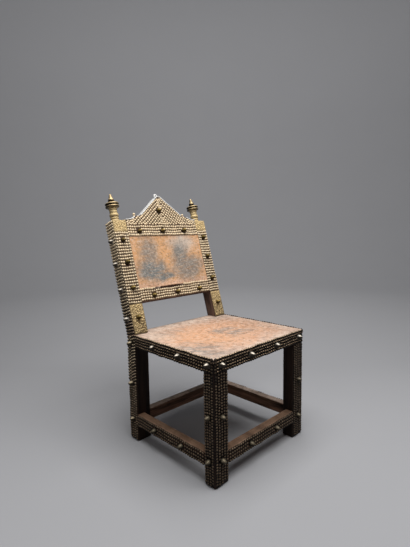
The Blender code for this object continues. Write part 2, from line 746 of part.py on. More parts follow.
def apex_eyelet(back, crest):
    """A ring that faces forward on the tip of the gable, with its shank bored into the crest."""
    place = (0, BACK_RAIL_THICKNESS / 2, GABLE_RISE)
    middle = EYELET_RADIUS + GAP
    half = EYELET_THICKNESS / 2
    bm = bmesh.new()
    disc = [(EYELET_RADIUS, -half), (EYELET_RADIUS, half)]
    add_turned(bm, disc, lambda a, b, h: Vector((a, h, middle + b)), TURNED_SIDES)
    eyelet = add_object("apex_eyelet", bm, back, place, finish="white_metal", smooth=True)
    bm = bmesh.new()
    shank_top = (EYELET_RADIUS - EYELET_HOLE_RADIUS) / 2
    shank = [(EYELET_SHANK_RADIUS, -EYELET_SHANK_LENGTH), (EYELET_SHANK_RADIUS, shank_top)]
    add_turned(bm, shank, along_z, TURNED_SIDES)
    boolean(eyelet, "UNION", add_object("apex_eyelet_shank", bm, back, place))
    bm = bmesh.new()
    hole = [(EYELET_HOLE_RADIUS, -EYELET_THICKNESS), (EYELET_HOLE_RADIUS, EYELET_THICKNESS)]
    add_turned(bm, hole, lambda a, b, h: Vector((a, h, middle + b)), TURNED_SIDES)
    boolean(eyelet, "DIFFERENCE", add_object("apex_eyelet_hole", bm, back, place))
    bore = stud_bore("apex_eyelet", place, EYELET_SHANK_RADIUS, EYELET_SHANK_LENGTH, back)
    boolean(crest, "DIFFERENCE", bore)


def gable_strip():
    """Outline of the edging that lies along one slope of the gable."""
    high = Vector((GABLE_FLAT / 2, GABLE_RISE))
    low = Vector((GABLE_HALF_WIDTH, KNOB_SEAT_RISE))
    along = (low - high).normalized()
    out = Vector((-along.y, along.x))
    near, far = out * GAP, out * (GAP + EDGING_THICKNESS)
    clear = along * (EDGING_THICKNESS + GAP)
    return [high + near + clear, low + near - clear, low + far - clear, high + far + clear]


def shoulder_strip():
    """Outline of the edging that lies in one hollow shoulder of the crest."""
    start = math.radians(20)
    near = scoop_points(GAP, start)
    far = scoop_points(GAP + EDGING_THICKNESS, start)
    return near + far[::-1]


def crest_edging(back):
    """White metal strips on the top edges of the crest, as deep as the rail and its tacks together."""
    for kind, strip in (("gable_edging", gable_strip()), ("shoulder_edging", shoulder_strip())):
        for name, side in SIDES:
            outline = [(side * x, rise) for x, rise in strip]
            bm = bmesh.new()
            add_prism(bm, outline, -TACK_PROUD, BACK_RAIL_THICKNESS, along_y)
            add_object(f"{kind}_{name}", bm, back, finish="white_metal")


def main():
    clear_scene()
    middle = (back_reach() - BOSS_PROUD) / 2
    chair = add_empty("chair", None, (0, -middle, 0))
    back = add_empty("back_frame", chair, (0, SEAT_DEPTH, SEAT_HEIGHT), tilt=-RAKE)
    posts, crest = build_frame(chair, back)
    seat_hide(chair)
    hide_room = back_hide(back)
    leg_fields(chair)
    seat_rail_fields(chair, seat_lip_room(chair))
    stretcher_fields(chair)
    stile_fields(back, hide_room)
    lower_rail_field(back, hide_room)
    crest_field(back, hide_room)
    stile_plates(back)
    finials(back, posts)
    crest_knobs(back, crest)
    apex_eyelet(back, crest)
    crest_edging(back)


main()
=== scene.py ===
"""Asipim chair, dressed: hewn dark wood, rows of brass tacks and bosses, worn hides and turned brass.

The packed frame gives the places and sizes. X runs to the sitter's left, the sitter faces -Y, and Z is up.
"""

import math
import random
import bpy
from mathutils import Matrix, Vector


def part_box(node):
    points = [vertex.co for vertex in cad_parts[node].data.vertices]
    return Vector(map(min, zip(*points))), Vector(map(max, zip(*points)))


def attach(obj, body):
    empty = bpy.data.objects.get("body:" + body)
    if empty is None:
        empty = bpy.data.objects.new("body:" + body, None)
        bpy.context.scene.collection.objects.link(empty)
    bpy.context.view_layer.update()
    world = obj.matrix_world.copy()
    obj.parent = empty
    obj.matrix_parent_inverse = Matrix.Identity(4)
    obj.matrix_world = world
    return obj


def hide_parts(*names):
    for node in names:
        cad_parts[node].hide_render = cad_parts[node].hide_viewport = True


bl_info = {
    "name": "Asipim Chair",
    "version": (1, 0, 0),
    "blender": (4, 5, 0),
    "location": "3D View > Sidebar > Chair",
    "description": "Dresses the frame of a tacked wooden chair with wood, brass and hide",
    "category": "Object",
}

import bmesh
import bpy
from bpy.props import FloatProperty, FloatVectorProperty, IntProperty, PointerProperty
from mathutils import Matrix, Vector, noise

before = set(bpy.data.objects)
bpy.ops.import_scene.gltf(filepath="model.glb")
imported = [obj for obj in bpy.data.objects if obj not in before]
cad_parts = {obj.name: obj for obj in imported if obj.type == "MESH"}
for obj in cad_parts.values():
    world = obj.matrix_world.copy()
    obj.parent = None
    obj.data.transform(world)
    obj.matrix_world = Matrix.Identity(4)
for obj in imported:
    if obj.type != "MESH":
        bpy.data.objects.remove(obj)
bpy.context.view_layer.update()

X, Y, Z = 0, 1, 2
SIDES = (("right", -1), ("left", 1))

# The chair's own sizes, read from the frame. Only the lean of the back is written here
RAKE = math.radians(16.5)
LEG_LOW, LEG_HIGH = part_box("front_leg_left")
POST_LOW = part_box("rear_post_left")[0]
POST_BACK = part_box("rear_leg_side_tacks_left")[1].y
SEAT_LOW, SEAT_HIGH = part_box("seat_hide")
HALF_WIDTH = LEG_HIGH.x
BACK = Matrix.Translation((0, POST_LOW.y, SEAT_HIGH.z)) @ Matrix.Rotation(-RAKE, 4, "X")
UNBACK = BACK.inverted()


def box_in(inverse, node):
    """A node's lowest and highest corner in another frame."""
    points = [inverse @ vert.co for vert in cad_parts[node].data.vertices]
    return Vector(map(min, zip(*points))), Vector(map(max, zip(*points)))


def back_box(node):
    """A node's box in the back's own frame: across, depth, and rise along the lean."""
    return box_in(UNBACK, node)


# Sizes of the back, along its lean
STILE_TOP = back_box("stile_side_tacks_left")[1].z
LOWER_RAIL = back_box("lower_back_rail")
CREST = back_box("crest_rail")
BACK_HIDE = back_box("back_hide")
KNOB = back_box("crest_knob_left")
EDGING = back_box("gable_edging_left")
OPENING_HALF = POST_LOW.x
POST_DEPTH = POST_BACK - POST_LOW.y

# Outline of the crest, which the frame's boxes don't give
SHOULDER_RISE = 0.431
KNOB_SEAT_RISE = 0.449
GABLE_FLAT = 0.005
GABLE_FOOT = 0.103
SCOOP_START = 0.1305
KNOB_X = (KNOB[0].x + KNOB[1].x) / 2

# Seats and laps
LAP = 0.001  # how far a bar runs into the one it meets
HIDE_LIFT = 0.0019  # tacks that hold a hide stand on it
FACE_CLEAR = 0.0003

# The back's hide has come off its tacks along part of its lower edge
TORN_FROM, TORN_TO = -0.104, 0.038
TORN_LAP = 0.0032
TORN_CURL = 0.0035


def length(name, description, default):
    return FloatProperty(name=name, description=description, default=default, unit="LENGTH")


def power(name, description, default):
    return FloatProperty(name=name, description=description, default=default, unit="POWER")


def tint(name, description, default):
    return FloatVectorProperty(name=name, description=description, default=default, subtype="COLOR")


class ChairWood(bpy.types.PropertyGroup):
    """Shape and colours of the hewn wood"""

    arris: length("Arris", "Radius of the worn edges", 0.0022)
    hewn: length("Hewn", "Depth of the tool marks", 0.0007)
    foot: length("Foot", "Bevel at the floor", 0.003)
    dark: tint("Dark", "Deep grain", (0.0030, 0.0015, 0.0007))
    brown: tint("Brown", "Open grain", (0.021, 0.0088, 0.0044))
    kicked: tint("Kicked", "Red-brown where feet reach", (0.120, 0.054, 0.029))
    handled: tint("Handled", "Above the seat, where hands reach", (0.165, 0.098, 0.072))
    worn: tint("Worn", "Rubbed edges", (0.34, 0.22, 0.15))
    dust: tint("Dust", "Dust on upward faces", (0.27, 0.165, 0.105))
    # Painted light, not dust: these two pale colours on the far stretchers' tops and sides stand in for light
    # that reaches them under the seat
    far_top_painted_light: tint("Silt", "Thick dust on the far stretchers", (0.74, 0.58, 0.47))
    far_side_painted_light: tint("Sheltered", "Sides of the far stretchers", (0.25, 0.125, 0.075))


class ChairTacks(bpy.types.PropertyGroup):
    """Sizes of the tacks and bosses"""

    head_radius: length("Head Radius", "Small tacks", 0.0049)
    head_height: length("Head Height", "Small tacks", 0.0042)
    boss_radius: length("Boss Radius", "Large bosses", 0.0095)
    boss_height: length("Boss Height", "Large bosses", 0.0185)
    row_pitch: length("Row Pitch", "Between rows", 0.0110)
    head_pitch: length("Head Pitch", "Along a row", 0.0102)
    wander: length("Wander", "How far heads stray", 0.0004)
    tilt: FloatProperty(
        name="Tilt", description="How far heads lean", default=math.radians(6), unit="ROTATION"
    )
    spread: FloatProperty(name="Size Spread", description="Share by which heads differ", default=0.06)
    dot_radius: length("Dot Radius", "Embossed dots", 0.0027)
    dot_height: length("Dot Height", "Embossed dots", 0.0016)
    seed: IntProperty(name="Seed", description="Draw of the hand-made differences", default=7)


class ChairMetal(bpy.types.PropertyGroup):
    """Colours of the brass and the white metal"""

    bright: tint("Bright Brass", "Rubbed heads", (0.94, 0.75, 0.50))
    dull: tint("Dull Brass", "Tarnished heads", (0.014, 0.009, 0.0055))
    # Grime between the heads, kept near black so that it also paints the shade in the gaps
    grime_and_shade: tint("Grime", "Between the heads", (0.0028, 0.0013, 0.0005))
    yellow: tint("Sheet Brass", "Plates and turned pieces", (0.88, 0.66, 0.34))
    drab: tint("Drab", "Brown tarnish low down", (0.80, 0.54, 0.35))
    white: tint("White Metal", "Edging and eyelet", (0.92, 0.91, 0.88))


class ChairHides(bpy.types.PropertyGroup):
    """Shape and colours of the two hides"""

    thickness: length("Thickness", "Of a hide", 0.0016)
    sag: length("Sag", "Of the seat between its rails", 0.0045)
    lip: length("Lip", "Turned down over the rails", 0.012)
    bend: length("Bend", "Radius of the turned edge", 0.003)
    tan: tint("Tan", "Body of the hides", (0.80, 0.43, 0.24))
    back_tan: tint("Back Tan", "Body of the back's hide", (0.84, 0.45, 0.20))
    pink: tint("Pink", "Faded tan", (0.72, 0.46, 0.33))
    pale: tint("Pale", "Bleached edges", (0.80, 0.66, 0.54))
    veil: tint("Veil", "Greyed tan", (0.48, 0.37, 0.30))
    grey: tint("Grey", "Rubbed patches", (0.20, 0.228, 0.228))
    scar: tint("Scar", "Red-brown scratches", (0.38, 0.16, 0.085))
    stain: tint("Stain", "Dark marks", (0.20, 0.125, 0.085))
    flesh: tint("Flesh", "Plain inner side", (0.40, 0.27, 0.175))


class ChairStage(bpy.types.PropertyGroup):
    """Floor, light and camera"""

    floor: tint("Floor", "Floor and sweep", (0.44, 0.44, 0.455))
    key: power("Key", "Large lamp above the front", 79.0)
    fill: power("Fill", "Soft lamp from the sitter's right", 7.0)
    wall: power("Wall", "Lamp turned to the wall behind", 150.0)
    sky: FloatProperty(name="Sky", description="Level of the light all round", default=0.07)
    lens: FloatProperty(
        name="Lens", description="Focal length on the sensor's width", default=25.66, unit="CAMERA"
    )


class Recipe:
    """Lays nodes in one tree and links them, so that a finish reads from top to bottom."""

    def __init__(self, tree):
        self.tree = tree

    def node(self, kind, inputs=None, **settings):
        made = self.tree.nodes.new(kind)
        for key, value in settings.items():
            setattr(made, key, value)
        for key, value in (inputs or {}).items():
            self.feed(value, made.inputs[key])
        return made

    def feed(self, value, socket):
        if isinstance(value, bpy.types.NodeSocket):
            self.tree.links.new(value, socket)
        else:
            socket.default_value = value

    def math(self, operation, first, second=0.0, clamp=False):
        settings = {"operation": operation, "use_clamp": clamp}
        return self.node("ShaderNodeMath", {0: first, 1: second}, **settings).outputs[0]

    def times(self, first, second, clamp=False):
        return self.math("MULTIPLY", first, second, clamp)

    def plus(self, first, second):
        return self.math("ADD", first, second)

    def minus(self, first, second):
        return self.math("SUBTRACT", first, second)

    def line(self, value, factor, offset):
        inputs = {0: value, 1: factor, 2: offset}
        return self.node("ShaderNodeMath", inputs, operation="MULTIPLY_ADD").outputs[0]

    def vector(self, operation, first, second):
        return self.node("ShaderNodeVectorMath", {0: first, 1: second}, operation=operation).outputs[0]

    def facing_up(self):
        """How far a face looks up: 1 for up, 0 for level and -1 for down."""
        return self.axes(self.node("ShaderNodeNewGeometry").outputs["Normal"])[Z]

    def axes(self, vector):
        return self.node("ShaderNodeSeparateXYZ", {0: vector}).outputs

    def mix(self, share, first, second):
        inputs = {0: share, 6: first, 7: second}
        return self.node("ShaderNodeMix", inputs, data_type="RGBA").outputs[2]

    def span(self, value, start, end, low=0.0, high=1.0):
        """A smooth step from low to high as value goes from start to end."""
        inputs = {0: value, 1: start, 2: end, 3: low, 4: high}
        return self.node("ShaderNodeMapRange", inputs, interpolation_type="SMOOTHSTEP").outputs[0]

    def scaled(self, vector, scale):
        return self.node("ShaderNodeMapping", {"Vector": vector, "Scale": scale}).outputs[0]

    def swung(self, vector, angle, scale=1.0):
        """A pattern turned in its own plane, and drawn closer."""
        inputs = {"Vector": vector, "Rotation": (0, 0, angle), "Scale": (scale, scale, scale)}
        return self.node("ShaderNodeMapping", inputs).outputs[0]

    def noise(self, vector, scale, detail=4.0, roughness=0.55, distortion=0.0):
        inputs = {"Vector": vector, "Scale": scale, "Detail": detail}
        inputs.update({"Roughness": roughness, "Distortion": distortion})
        return self.node("ShaderNodeTexNoise", inputs).outputs[0]

    def cells(self, vector, scale):
        return self.node("ShaderNodeTexVoronoi", {"Vector": vector, "Scale": scale}).outputs[0]

    def attribute(self, name, output="Fac"):
        return self.node("ShaderNodeAttribute", attribute_name=name).outputs[output]

    def object_place(self):
        return self.node("ShaderNodeTexCoord").outputs["Object"]

    def bump(self, height, strength, distance):
        inputs = {"Height": height, "Strength": strength, "Distance": distance}
        return self.node("ShaderNodeBump", inputs).outputs[0]

    def warp(self, vector, scale, amount):
        """A pattern pushed about by noise, so that marks laid on it get ragged shapes."""
        inputs = {"Vector": vector, "Scale": scale, "Detail": 5.0, "Roughness": 0.6}
        push = self.node("ShaderNodeTexNoise", inputs).outputs["Color"]
        push = self.vector("MULTIPLY", self.vector("SUBTRACT", push, (0.5, 0.5, 0.5)), (amount, amount, 0.0))
        return self.vector("ADD", vector, push)

    def blot(self, vector, centre, radii, ragged, soft=0.35):
        """A soft-edged oval mark, 1 inside and 0 outside, with an edge that follows ragged.

        centre and radii are lengths on the flat hide.
        """
        moved = self.vector("SUBTRACT", vector, (*centre, 0.0))
        shaped = self.vector("DIVIDE", moved, (*radii, 1.0))
        reach = self.node("ShaderNodeVectorMath", {0: shaped}, operation="LENGTH").outputs["Value"]
        return self.span(self.plus(reach, ragged), 1.0 + soft, 1.0 - soft)

    def most(self, *masks):
        """The strongest of several masks."""
        found = masks[0]
        for mask in masks[1:]:
            found = self.math("MAXIMUM", found, mask)
        return found


def opaque(color):
    return (*color, 1.0)


def effect_group(name, inputs, outputs):
    """An empty shader group with those sockets, its recipe, and its two ends."""
    tree = bpy.data.node_groups.new(name, "ShaderNodeTree")
    for label, kind, default in inputs:
        socket = tree.interface.new_socket(label, in_out="INPUT", socket_type=kind)
        socket.default_value = default
    for label, kind in outputs:
        tree.interface.new_socket(label, in_out="OUTPUT", socket_type=kind)
    recipe = Recipe(tree)
    return tree, recipe, recipe.node("NodeGroupInput").outputs, recipe.node("NodeGroupOutput").inputs


def new_finish(name, **constants):
    """A material with its shader, whose unchanging values are set on the shader itself."""
    material = bpy.data.materials.new(name)
    material.use_nodes = True
    shader = material.node_tree.nodes["Principled BSDF"]
    for key, value in constants.items():
        shader.inputs[key.replace("_", " ")].default_value = value
    return material, Recipe(material.node_tree), shader.inputs


def aged_brass_group():
    """Brass rubbed bright on its crowns, with grime and painted shade low down between the heads, a painted
    highlight where it faces up, and fine scratches.
    """
    found = bpy.data.node_groups.get("aged_brass")
    if found:
        return found
    tree, recipe, given, made = effect_group(
        "aged_brass",
        [
            ("Vector", "NodeSocketVector", (0, 0, 0)),
            ("Crown", "NodeSocketFloat", 0.5),
            ("Polish", "NodeSocketFloat", 0.5),
            ("Upward", "NodeSocketFloat", 0.0),
            ("Gloss", "NodeSocketFloat", 0.0),
            ("Tone", "NodeSocketFloat", 0.5),
            ("Bright", "NodeSocketColor", (1, 1, 1, 1)),
            ("Dull", "NodeSocketColor", (0, 0, 0, 1)),
            ("Grime", "NodeSocketColor", (0, 0, 0, 1)),
        ],
        [
            ("Color", "NodeSocketColor"),
            ("Metal", "NodeSocketFloat"),
            ("Roughness", "NodeSocketFloat"),
            ("Height", "NodeSocketFloat"),
        ],
    )
    cloud = recipe.noise(given["Vector"], 38.0, 5.0, 0.6)
    fine = recipe.noise(given["Vector"], 420.0, 3.0, 0.6)
    scratch = recipe.noise(recipe.scaled(given["Vector"], (900.0, 160.0, 300.0)), 1.0, 2.0)
    uneven = recipe.plus(recipe.line(given["Tone"], 0.5, 0.75), recipe.line(cloud, 1.2, -0.6))
    # low is 1 on dull fields, broad on the dullest, whose light spreads further, and keen on rubbed bosses
    low = recipe.span(given["Polish"], 0.5, 0.25)
    broad = recipe.span(given["Polish"], 0.16, 0.11)
    keen = recipe.span(given["Polish"], 0.3, 0.5)
    start = recipe.minus(recipe.line(low, 0.26, -0.10), recipe.times(broad, 0.45))
    end = recipe.minus(recipe.line(low, 0.12, 0.70), recipe.times(broad, 0.25))
    foot = recipe.times(recipe.line(given["Polish"], 0.62, 0.06), recipe.line(low, -0.9, 1.0))
    crown = recipe.minus(recipe.line(low, 1.7, 1.6), recipe.times(broad, 0.3))
    # Painted highlight and shade: each head is lit where its surface turns up and dark where it turns down
    head = recipe.span(given["Upward"], start, end, foot, crown)
    # The same painted highlight on bosses, narrower and brighter on keen ones
    start, end = recipe.line(keen, 0.62, -0.20), recipe.line(keen, 0.25, 0.60)
    foot, crown = recipe.line(keen, -0.13, 0.18), recipe.line(keen, 0.2, 1.3)
    boss = recipe.span(given["Upward"], start, end, foot, crown)
    # rubbed here is the painted highlight of a head or of a boss, which shine then scales by the polish
    rubbed = recipe.plus(head, recipe.times(given["Gloss"], recipe.minus(boss, head)))
    shine = recipe.times(given["Polish"], recipe.times(uneven, rubbed), clamp=True)
    # Grime and painted shade: dull fields go to grime, and below the crown of each head the brass gives way
    # to a ground of grime that also stands for the shade between the heads; on bright fields that ground is
    # partly bright brass
    dull = recipe.mix(low, given["Dull"], given["Grime"])
    metal = recipe.mix(shine, dull, given["Bright"])
    speck = recipe.span(fine, 0.56, 0.70, 0.0, 0.5)
    tarnished = recipe.mix(speck, metal, dull)
    rise = recipe.plus(given["Crown"], recipe.line(fine, 0.5, -0.25))
    clean = recipe.span(rise, recipe.line(broad, 0.40, 0.02), recipe.line(broad, 0.36, 0.50))
    ground = recipe.mix(recipe.span(given["Polish"], 0.55, 1.0, 0.0, 0.52), given["Grime"], given["Bright"])
    recipe.feed(recipe.mix(clean, ground, tarnished), made["Color"])
    chalky = recipe.times(recipe.span(given["Polish"], 0.2, 0.5), recipe.line(given["Gloss"], -1.0, 1.0))
    recipe.feed(recipe.times(clean, recipe.line(chalky, -0.40, 0.55)), made["Metal"])
    dry = recipe.plus(recipe.line(chalky, 0.12, 0.36), recipe.times(speck, 0.2))
    dry = recipe.plus(dry, recipe.times(given["Gloss"], 0.08))
    recipe.feed(dry, made["Roughness"])
    recipe.feed(recipe.plus(fine, recipe.times(scratch, 0.5)), made["Height"])
    return tree


def brass_finish(name, bright, metal, polish=None):
    """Aged brass. Tacks carry their own polish and tone, other pieces take one polish all over."""
    found = bpy.data.materials.get(name)
    if found:
        return found
    material, recipe, shader = new_finish(name, Specular_IOR_Level=0.15)
    polish = recipe.attribute("polish") if polish is None else polish
    gloss = recipe.span(recipe.attribute("stud"), 1.4, 1.6)
    # Bosses: the colour that their painted glint reaches, olive on dull bosses, paler on rubbed ones and on
    # the dullest
    pale = [0.40 * (first + second) for first, second in zip(metal.bright, metal.white)]
    drab = recipe.span(polish, 0.34, 0.14)
    olive = (metal.yellow[0], 0.94 * metal.yellow[1], 0.6 * metal.yellow[2])
    boss_glint_color = recipe.mix(recipe.span(polish, 0.3, 0.5), opaque(olive), opaque(pale))
    boss_glint_color = recipe.mix(recipe.span(polish, 0.20, 0.17, 0.0, 0.7), boss_glint_color, opaque(pale))
    head_color = recipe.mix(recipe.times(drab, 0.8), opaque(bright), opaque(metal.drab))
    inputs = {
        "Vector": recipe.object_place(),
        "Crown": recipe.attribute("crown"),
        "Polish": polish,
        "Upward": recipe.facing_up(),
        "Gloss": gloss,
        "Tone": recipe.attribute("tone"),
        "Bright": recipe.mix(gloss, head_color, boss_glint_color),
        "Dull": opaque(metal.dull),
        "Grime": opaque(metal.grime_and_shade),
    }
    aged = recipe.node("ShaderNodeGroup", inputs, node_tree=aged_brass_group())
    recipe.feed(aged.outputs["Color"], shader["Base Color"])
    recipe.feed(aged.outputs["Metal"], shader["Metallic"])
    recipe.feed(aged.outputs["Roughness"], shader["Roughness"])
    recipe.feed(recipe.bump(aged.outputs["Height"], 0.25, 0.0004), shader["Normal"])
    return material


def settled_dust_group():
    """Where dust settles and edges rub: upward faces, broken up, and the arrises."""
    found = bpy.data.node_groups.get("settled_dust")
    if found:
        return found
    tree, recipe, given, made = effect_group(
        "settled_dust",
        [
            ("Vector", "NodeSocketVector", (0, 0, 0)),
            ("Upward", "NodeSocketFloat", 0.0),
            ("Arris", "NodeSocketFloat", 0.0),
        ],
        [("Dust", "NodeSocketFloat"), ("Wear", "NodeSocketFloat")],
    )
    cloud = recipe.noise(given["Vector"], 26.0, 5.0, 0.6)
    broken = recipe.noise(given["Vector"], 120.0, 4.0, 0.65)
    level = recipe.span(given["Upward"], 0.55, 0.95)
    lying = recipe.times(level, recipe.span(cloud, 0.25, 0.62, 0.35, 1.0))
    recipe.feed(recipe.times(lying, recipe.span(broken, 0.2, 0.6, 0.6, 1.0)), made["Dust"])
    rubbed = recipe.times(given["Arris"], recipe.span(cloud, 0.38, 0.62))
    recipe.feed(recipe.times(rubbed, recipe.span(broken, 0.3, 0.6, 0.3, 1.0)), made["Wear"])
    return tree


def wood_finish(name, brown, worn, dust_and_top_light, wood):
    """Dark hardwood: long grain along each bar, rubbed arrises, and dust on what faces up, which on the far
    stretchers is a pale painted light.
    """
    found = bpy.data.materials.get(name)
    if found:
        return found
    material, recipe, shader = new_finish(name, Specular_IOR_Level=0.2)
    place = recipe.object_place()
    grain = recipe.attribute("grain", "Vector")
    broad = recipe.noise(recipe.scaled(grain, (5.0, 60.0, 60.0)), 1.0, 5.0, 0.6, 0.4)
    streak = recipe.noise(recipe.scaled(grain, (14.0, 420.0, 420.0)), 1.0, 4.0, 0.6)
    tone = recipe.plus(recipe.times(broad, 0.65), recipe.times(streak, 0.35))
    body = recipe.mix(recipe.span(tone, 0.36, 0.66), opaque(wood.dark), opaque(brown))
    inputs = {"Vector": place, "Upward": recipe.facing_up(), "Arris": recipe.attribute("arris")}
    dust = recipe.node("ShaderNodeGroup", inputs, node_tree=settled_dust_group())
    above_seat = recipe.span(recipe.axes(place)[Z], SEAT_HIGH.z - 0.02, SEAT_HIGH.z)
    handled = recipe.times(above_seat, recipe.span(tone, 0.3, 0.6))
    body = recipe.mix(handled, body, opaque(wood.handled))
    rubbed = recipe.mix(dust.outputs["Wear"], body, opaque(worn))
    # On the far stretchers this dust colour is painted light, pale on what faces up
    streaked = recipe.times(dust.outputs["Dust"], recipe.span(streak, 0.3, 0.7, 1.0, 0.55))
    recipe.feed(recipe.mix(streaked, rubbed, opaque(dust_and_top_light)), shader["Base Color"])
    rough = recipe.plus(recipe.span(tone, 0.3, 0.7, 0.74, 0.6), recipe.times(streaked, 0.3))
    recipe.feed(rough, shader["Roughness"])
    height = recipe.plus(recipe.times(streak, 0.7), broad)
    recipe.feed(recipe.bump(height, 0.45, 0.0009), shader["Normal"])
    return material


def worn_hide_group():
    """Leather: pebbled grain, mottling, creases and short scratches that lighten and roughen it."""
    found = bpy.data.node_groups.get("worn_hide")
    if found:
        return found
    tree, recipe, given, made = effect_group(
        "worn_hide",
        [
            ("Vector", "NodeSocketVector", (0, 0, 0)),
            ("Color", "NodeSocketColor", (1, 1, 1, 1)),
            ("Scratch", "NodeSocketColor", (1, 1, 1, 1)),
            ("Crease", "NodeSocketColor", (0, 0, 0, 1)),
            ("Amount", "NodeSocketFloat", 0.5),
        ],
        [("Color", "NodeSocketColor"), ("Roughness", "NodeSocketFloat"), ("Height", "NodeSocketFloat")],
    )
    pebble = recipe.cells(given["Vector"], 620.0)
    cloud = recipe.noise(given["Vector"], 24.0, 6.0, 0.7)
    mottle = recipe.noise(given["Vector"], 64.0, 7.0, 0.72)
    down = recipe.noise(recipe.scaled(given["Vector"], (210.0, 24.0, 1.0)), 1.0, 5.0, 0.7, 0.9)
    turned = recipe.swung(given["Vector"], 0.9)
    slant = recipe.noise(recipe.scaled(turned, (230.0, 26.0, 1.0)), 1.0, 5.0, 0.7, 0.9)
    light = recipe.most(recipe.span(down, 0.53, 0.64), recipe.span(slant, 0.55, 0.66))
    light = recipe.times(light, recipe.times(recipe.span(cloud, 0.38, 0.56), given["Amount"]))
    dark = recipe.most(recipe.span(down, 0.46, 0.35), recipe.span(slant, 0.44, 0.33))
    dark = recipe.times(dark, recipe.times(recipe.span(cloud, 0.60, 0.42), given["Amount"]))
    shade = recipe.mix(recipe.span(mottle, 0.50, 0.34, 0.0, 0.70), given["Color"], given["Crease"])
    shade = recipe.mix(recipe.span(mottle, 0.52, 0.67, 0.0, 0.64), shade, given["Scratch"])
    shade = recipe.mix(dark, shade, given["Crease"])
    recipe.feed(recipe.mix(light, shade, given["Scratch"]), made["Color"])
    recipe.feed(recipe.plus(recipe.span(cloud, 0.3, 0.7, 0.52, 0.68), recipe.times(light, 0.2)),
                made["Roughness"])
    height = recipe.plus(recipe.times(pebble, 0.35), mottle)
    recipe.feed(recipe.minus(height, recipe.times(dark, 0.7)), made["Height"])
    return tree


def inner_side(recipe, direction):
    """How far a hide's face is turned that way, which is the way its plain inner side lies."""
    normal = recipe.node("ShaderNodeNewGeometry").outputs["Normal"]
    dot = recipe.node("ShaderNodeVectorMath", {0: normal, 1: direction}, operation="DOT_PRODUCT")
    return recipe.span(dot.outputs["Value"], 0.2, 0.4)


def hide_surface(recipe, shader, cut, color, scratch, amount, inner, hides):
    """Puts a hide's painted colour through the worn leather effect and on to its shader."""
    color = recipe.mix(inner, color, opaque(hides.flesh))
    scratch = recipe.mix(inner, scratch, opaque(hides.flesh))
    inputs = {"Vector": cut, "Color": color, "Scratch": scratch}
    inputs.update({"Crease": opaque(hides.stain), "Amount": amount})
    worn = recipe.node("ShaderNodeGroup", inputs, node_tree=worn_hide_group())
    recipe.feed(worn.outputs["Color"], shader["Base Color"])
    recipe.feed(worn.outputs["Roughness"], shader["Roughness"])
    recipe.feed(recipe.bump(worn.outputs["Height"], 0.6, 0.0009), shader["Normal"])


def ragged_edge(recipe, cut, scale, amount):
    return recipe.line(recipe.noise(cut, scale, 6.0, 0.65), amount, -amount / 2)


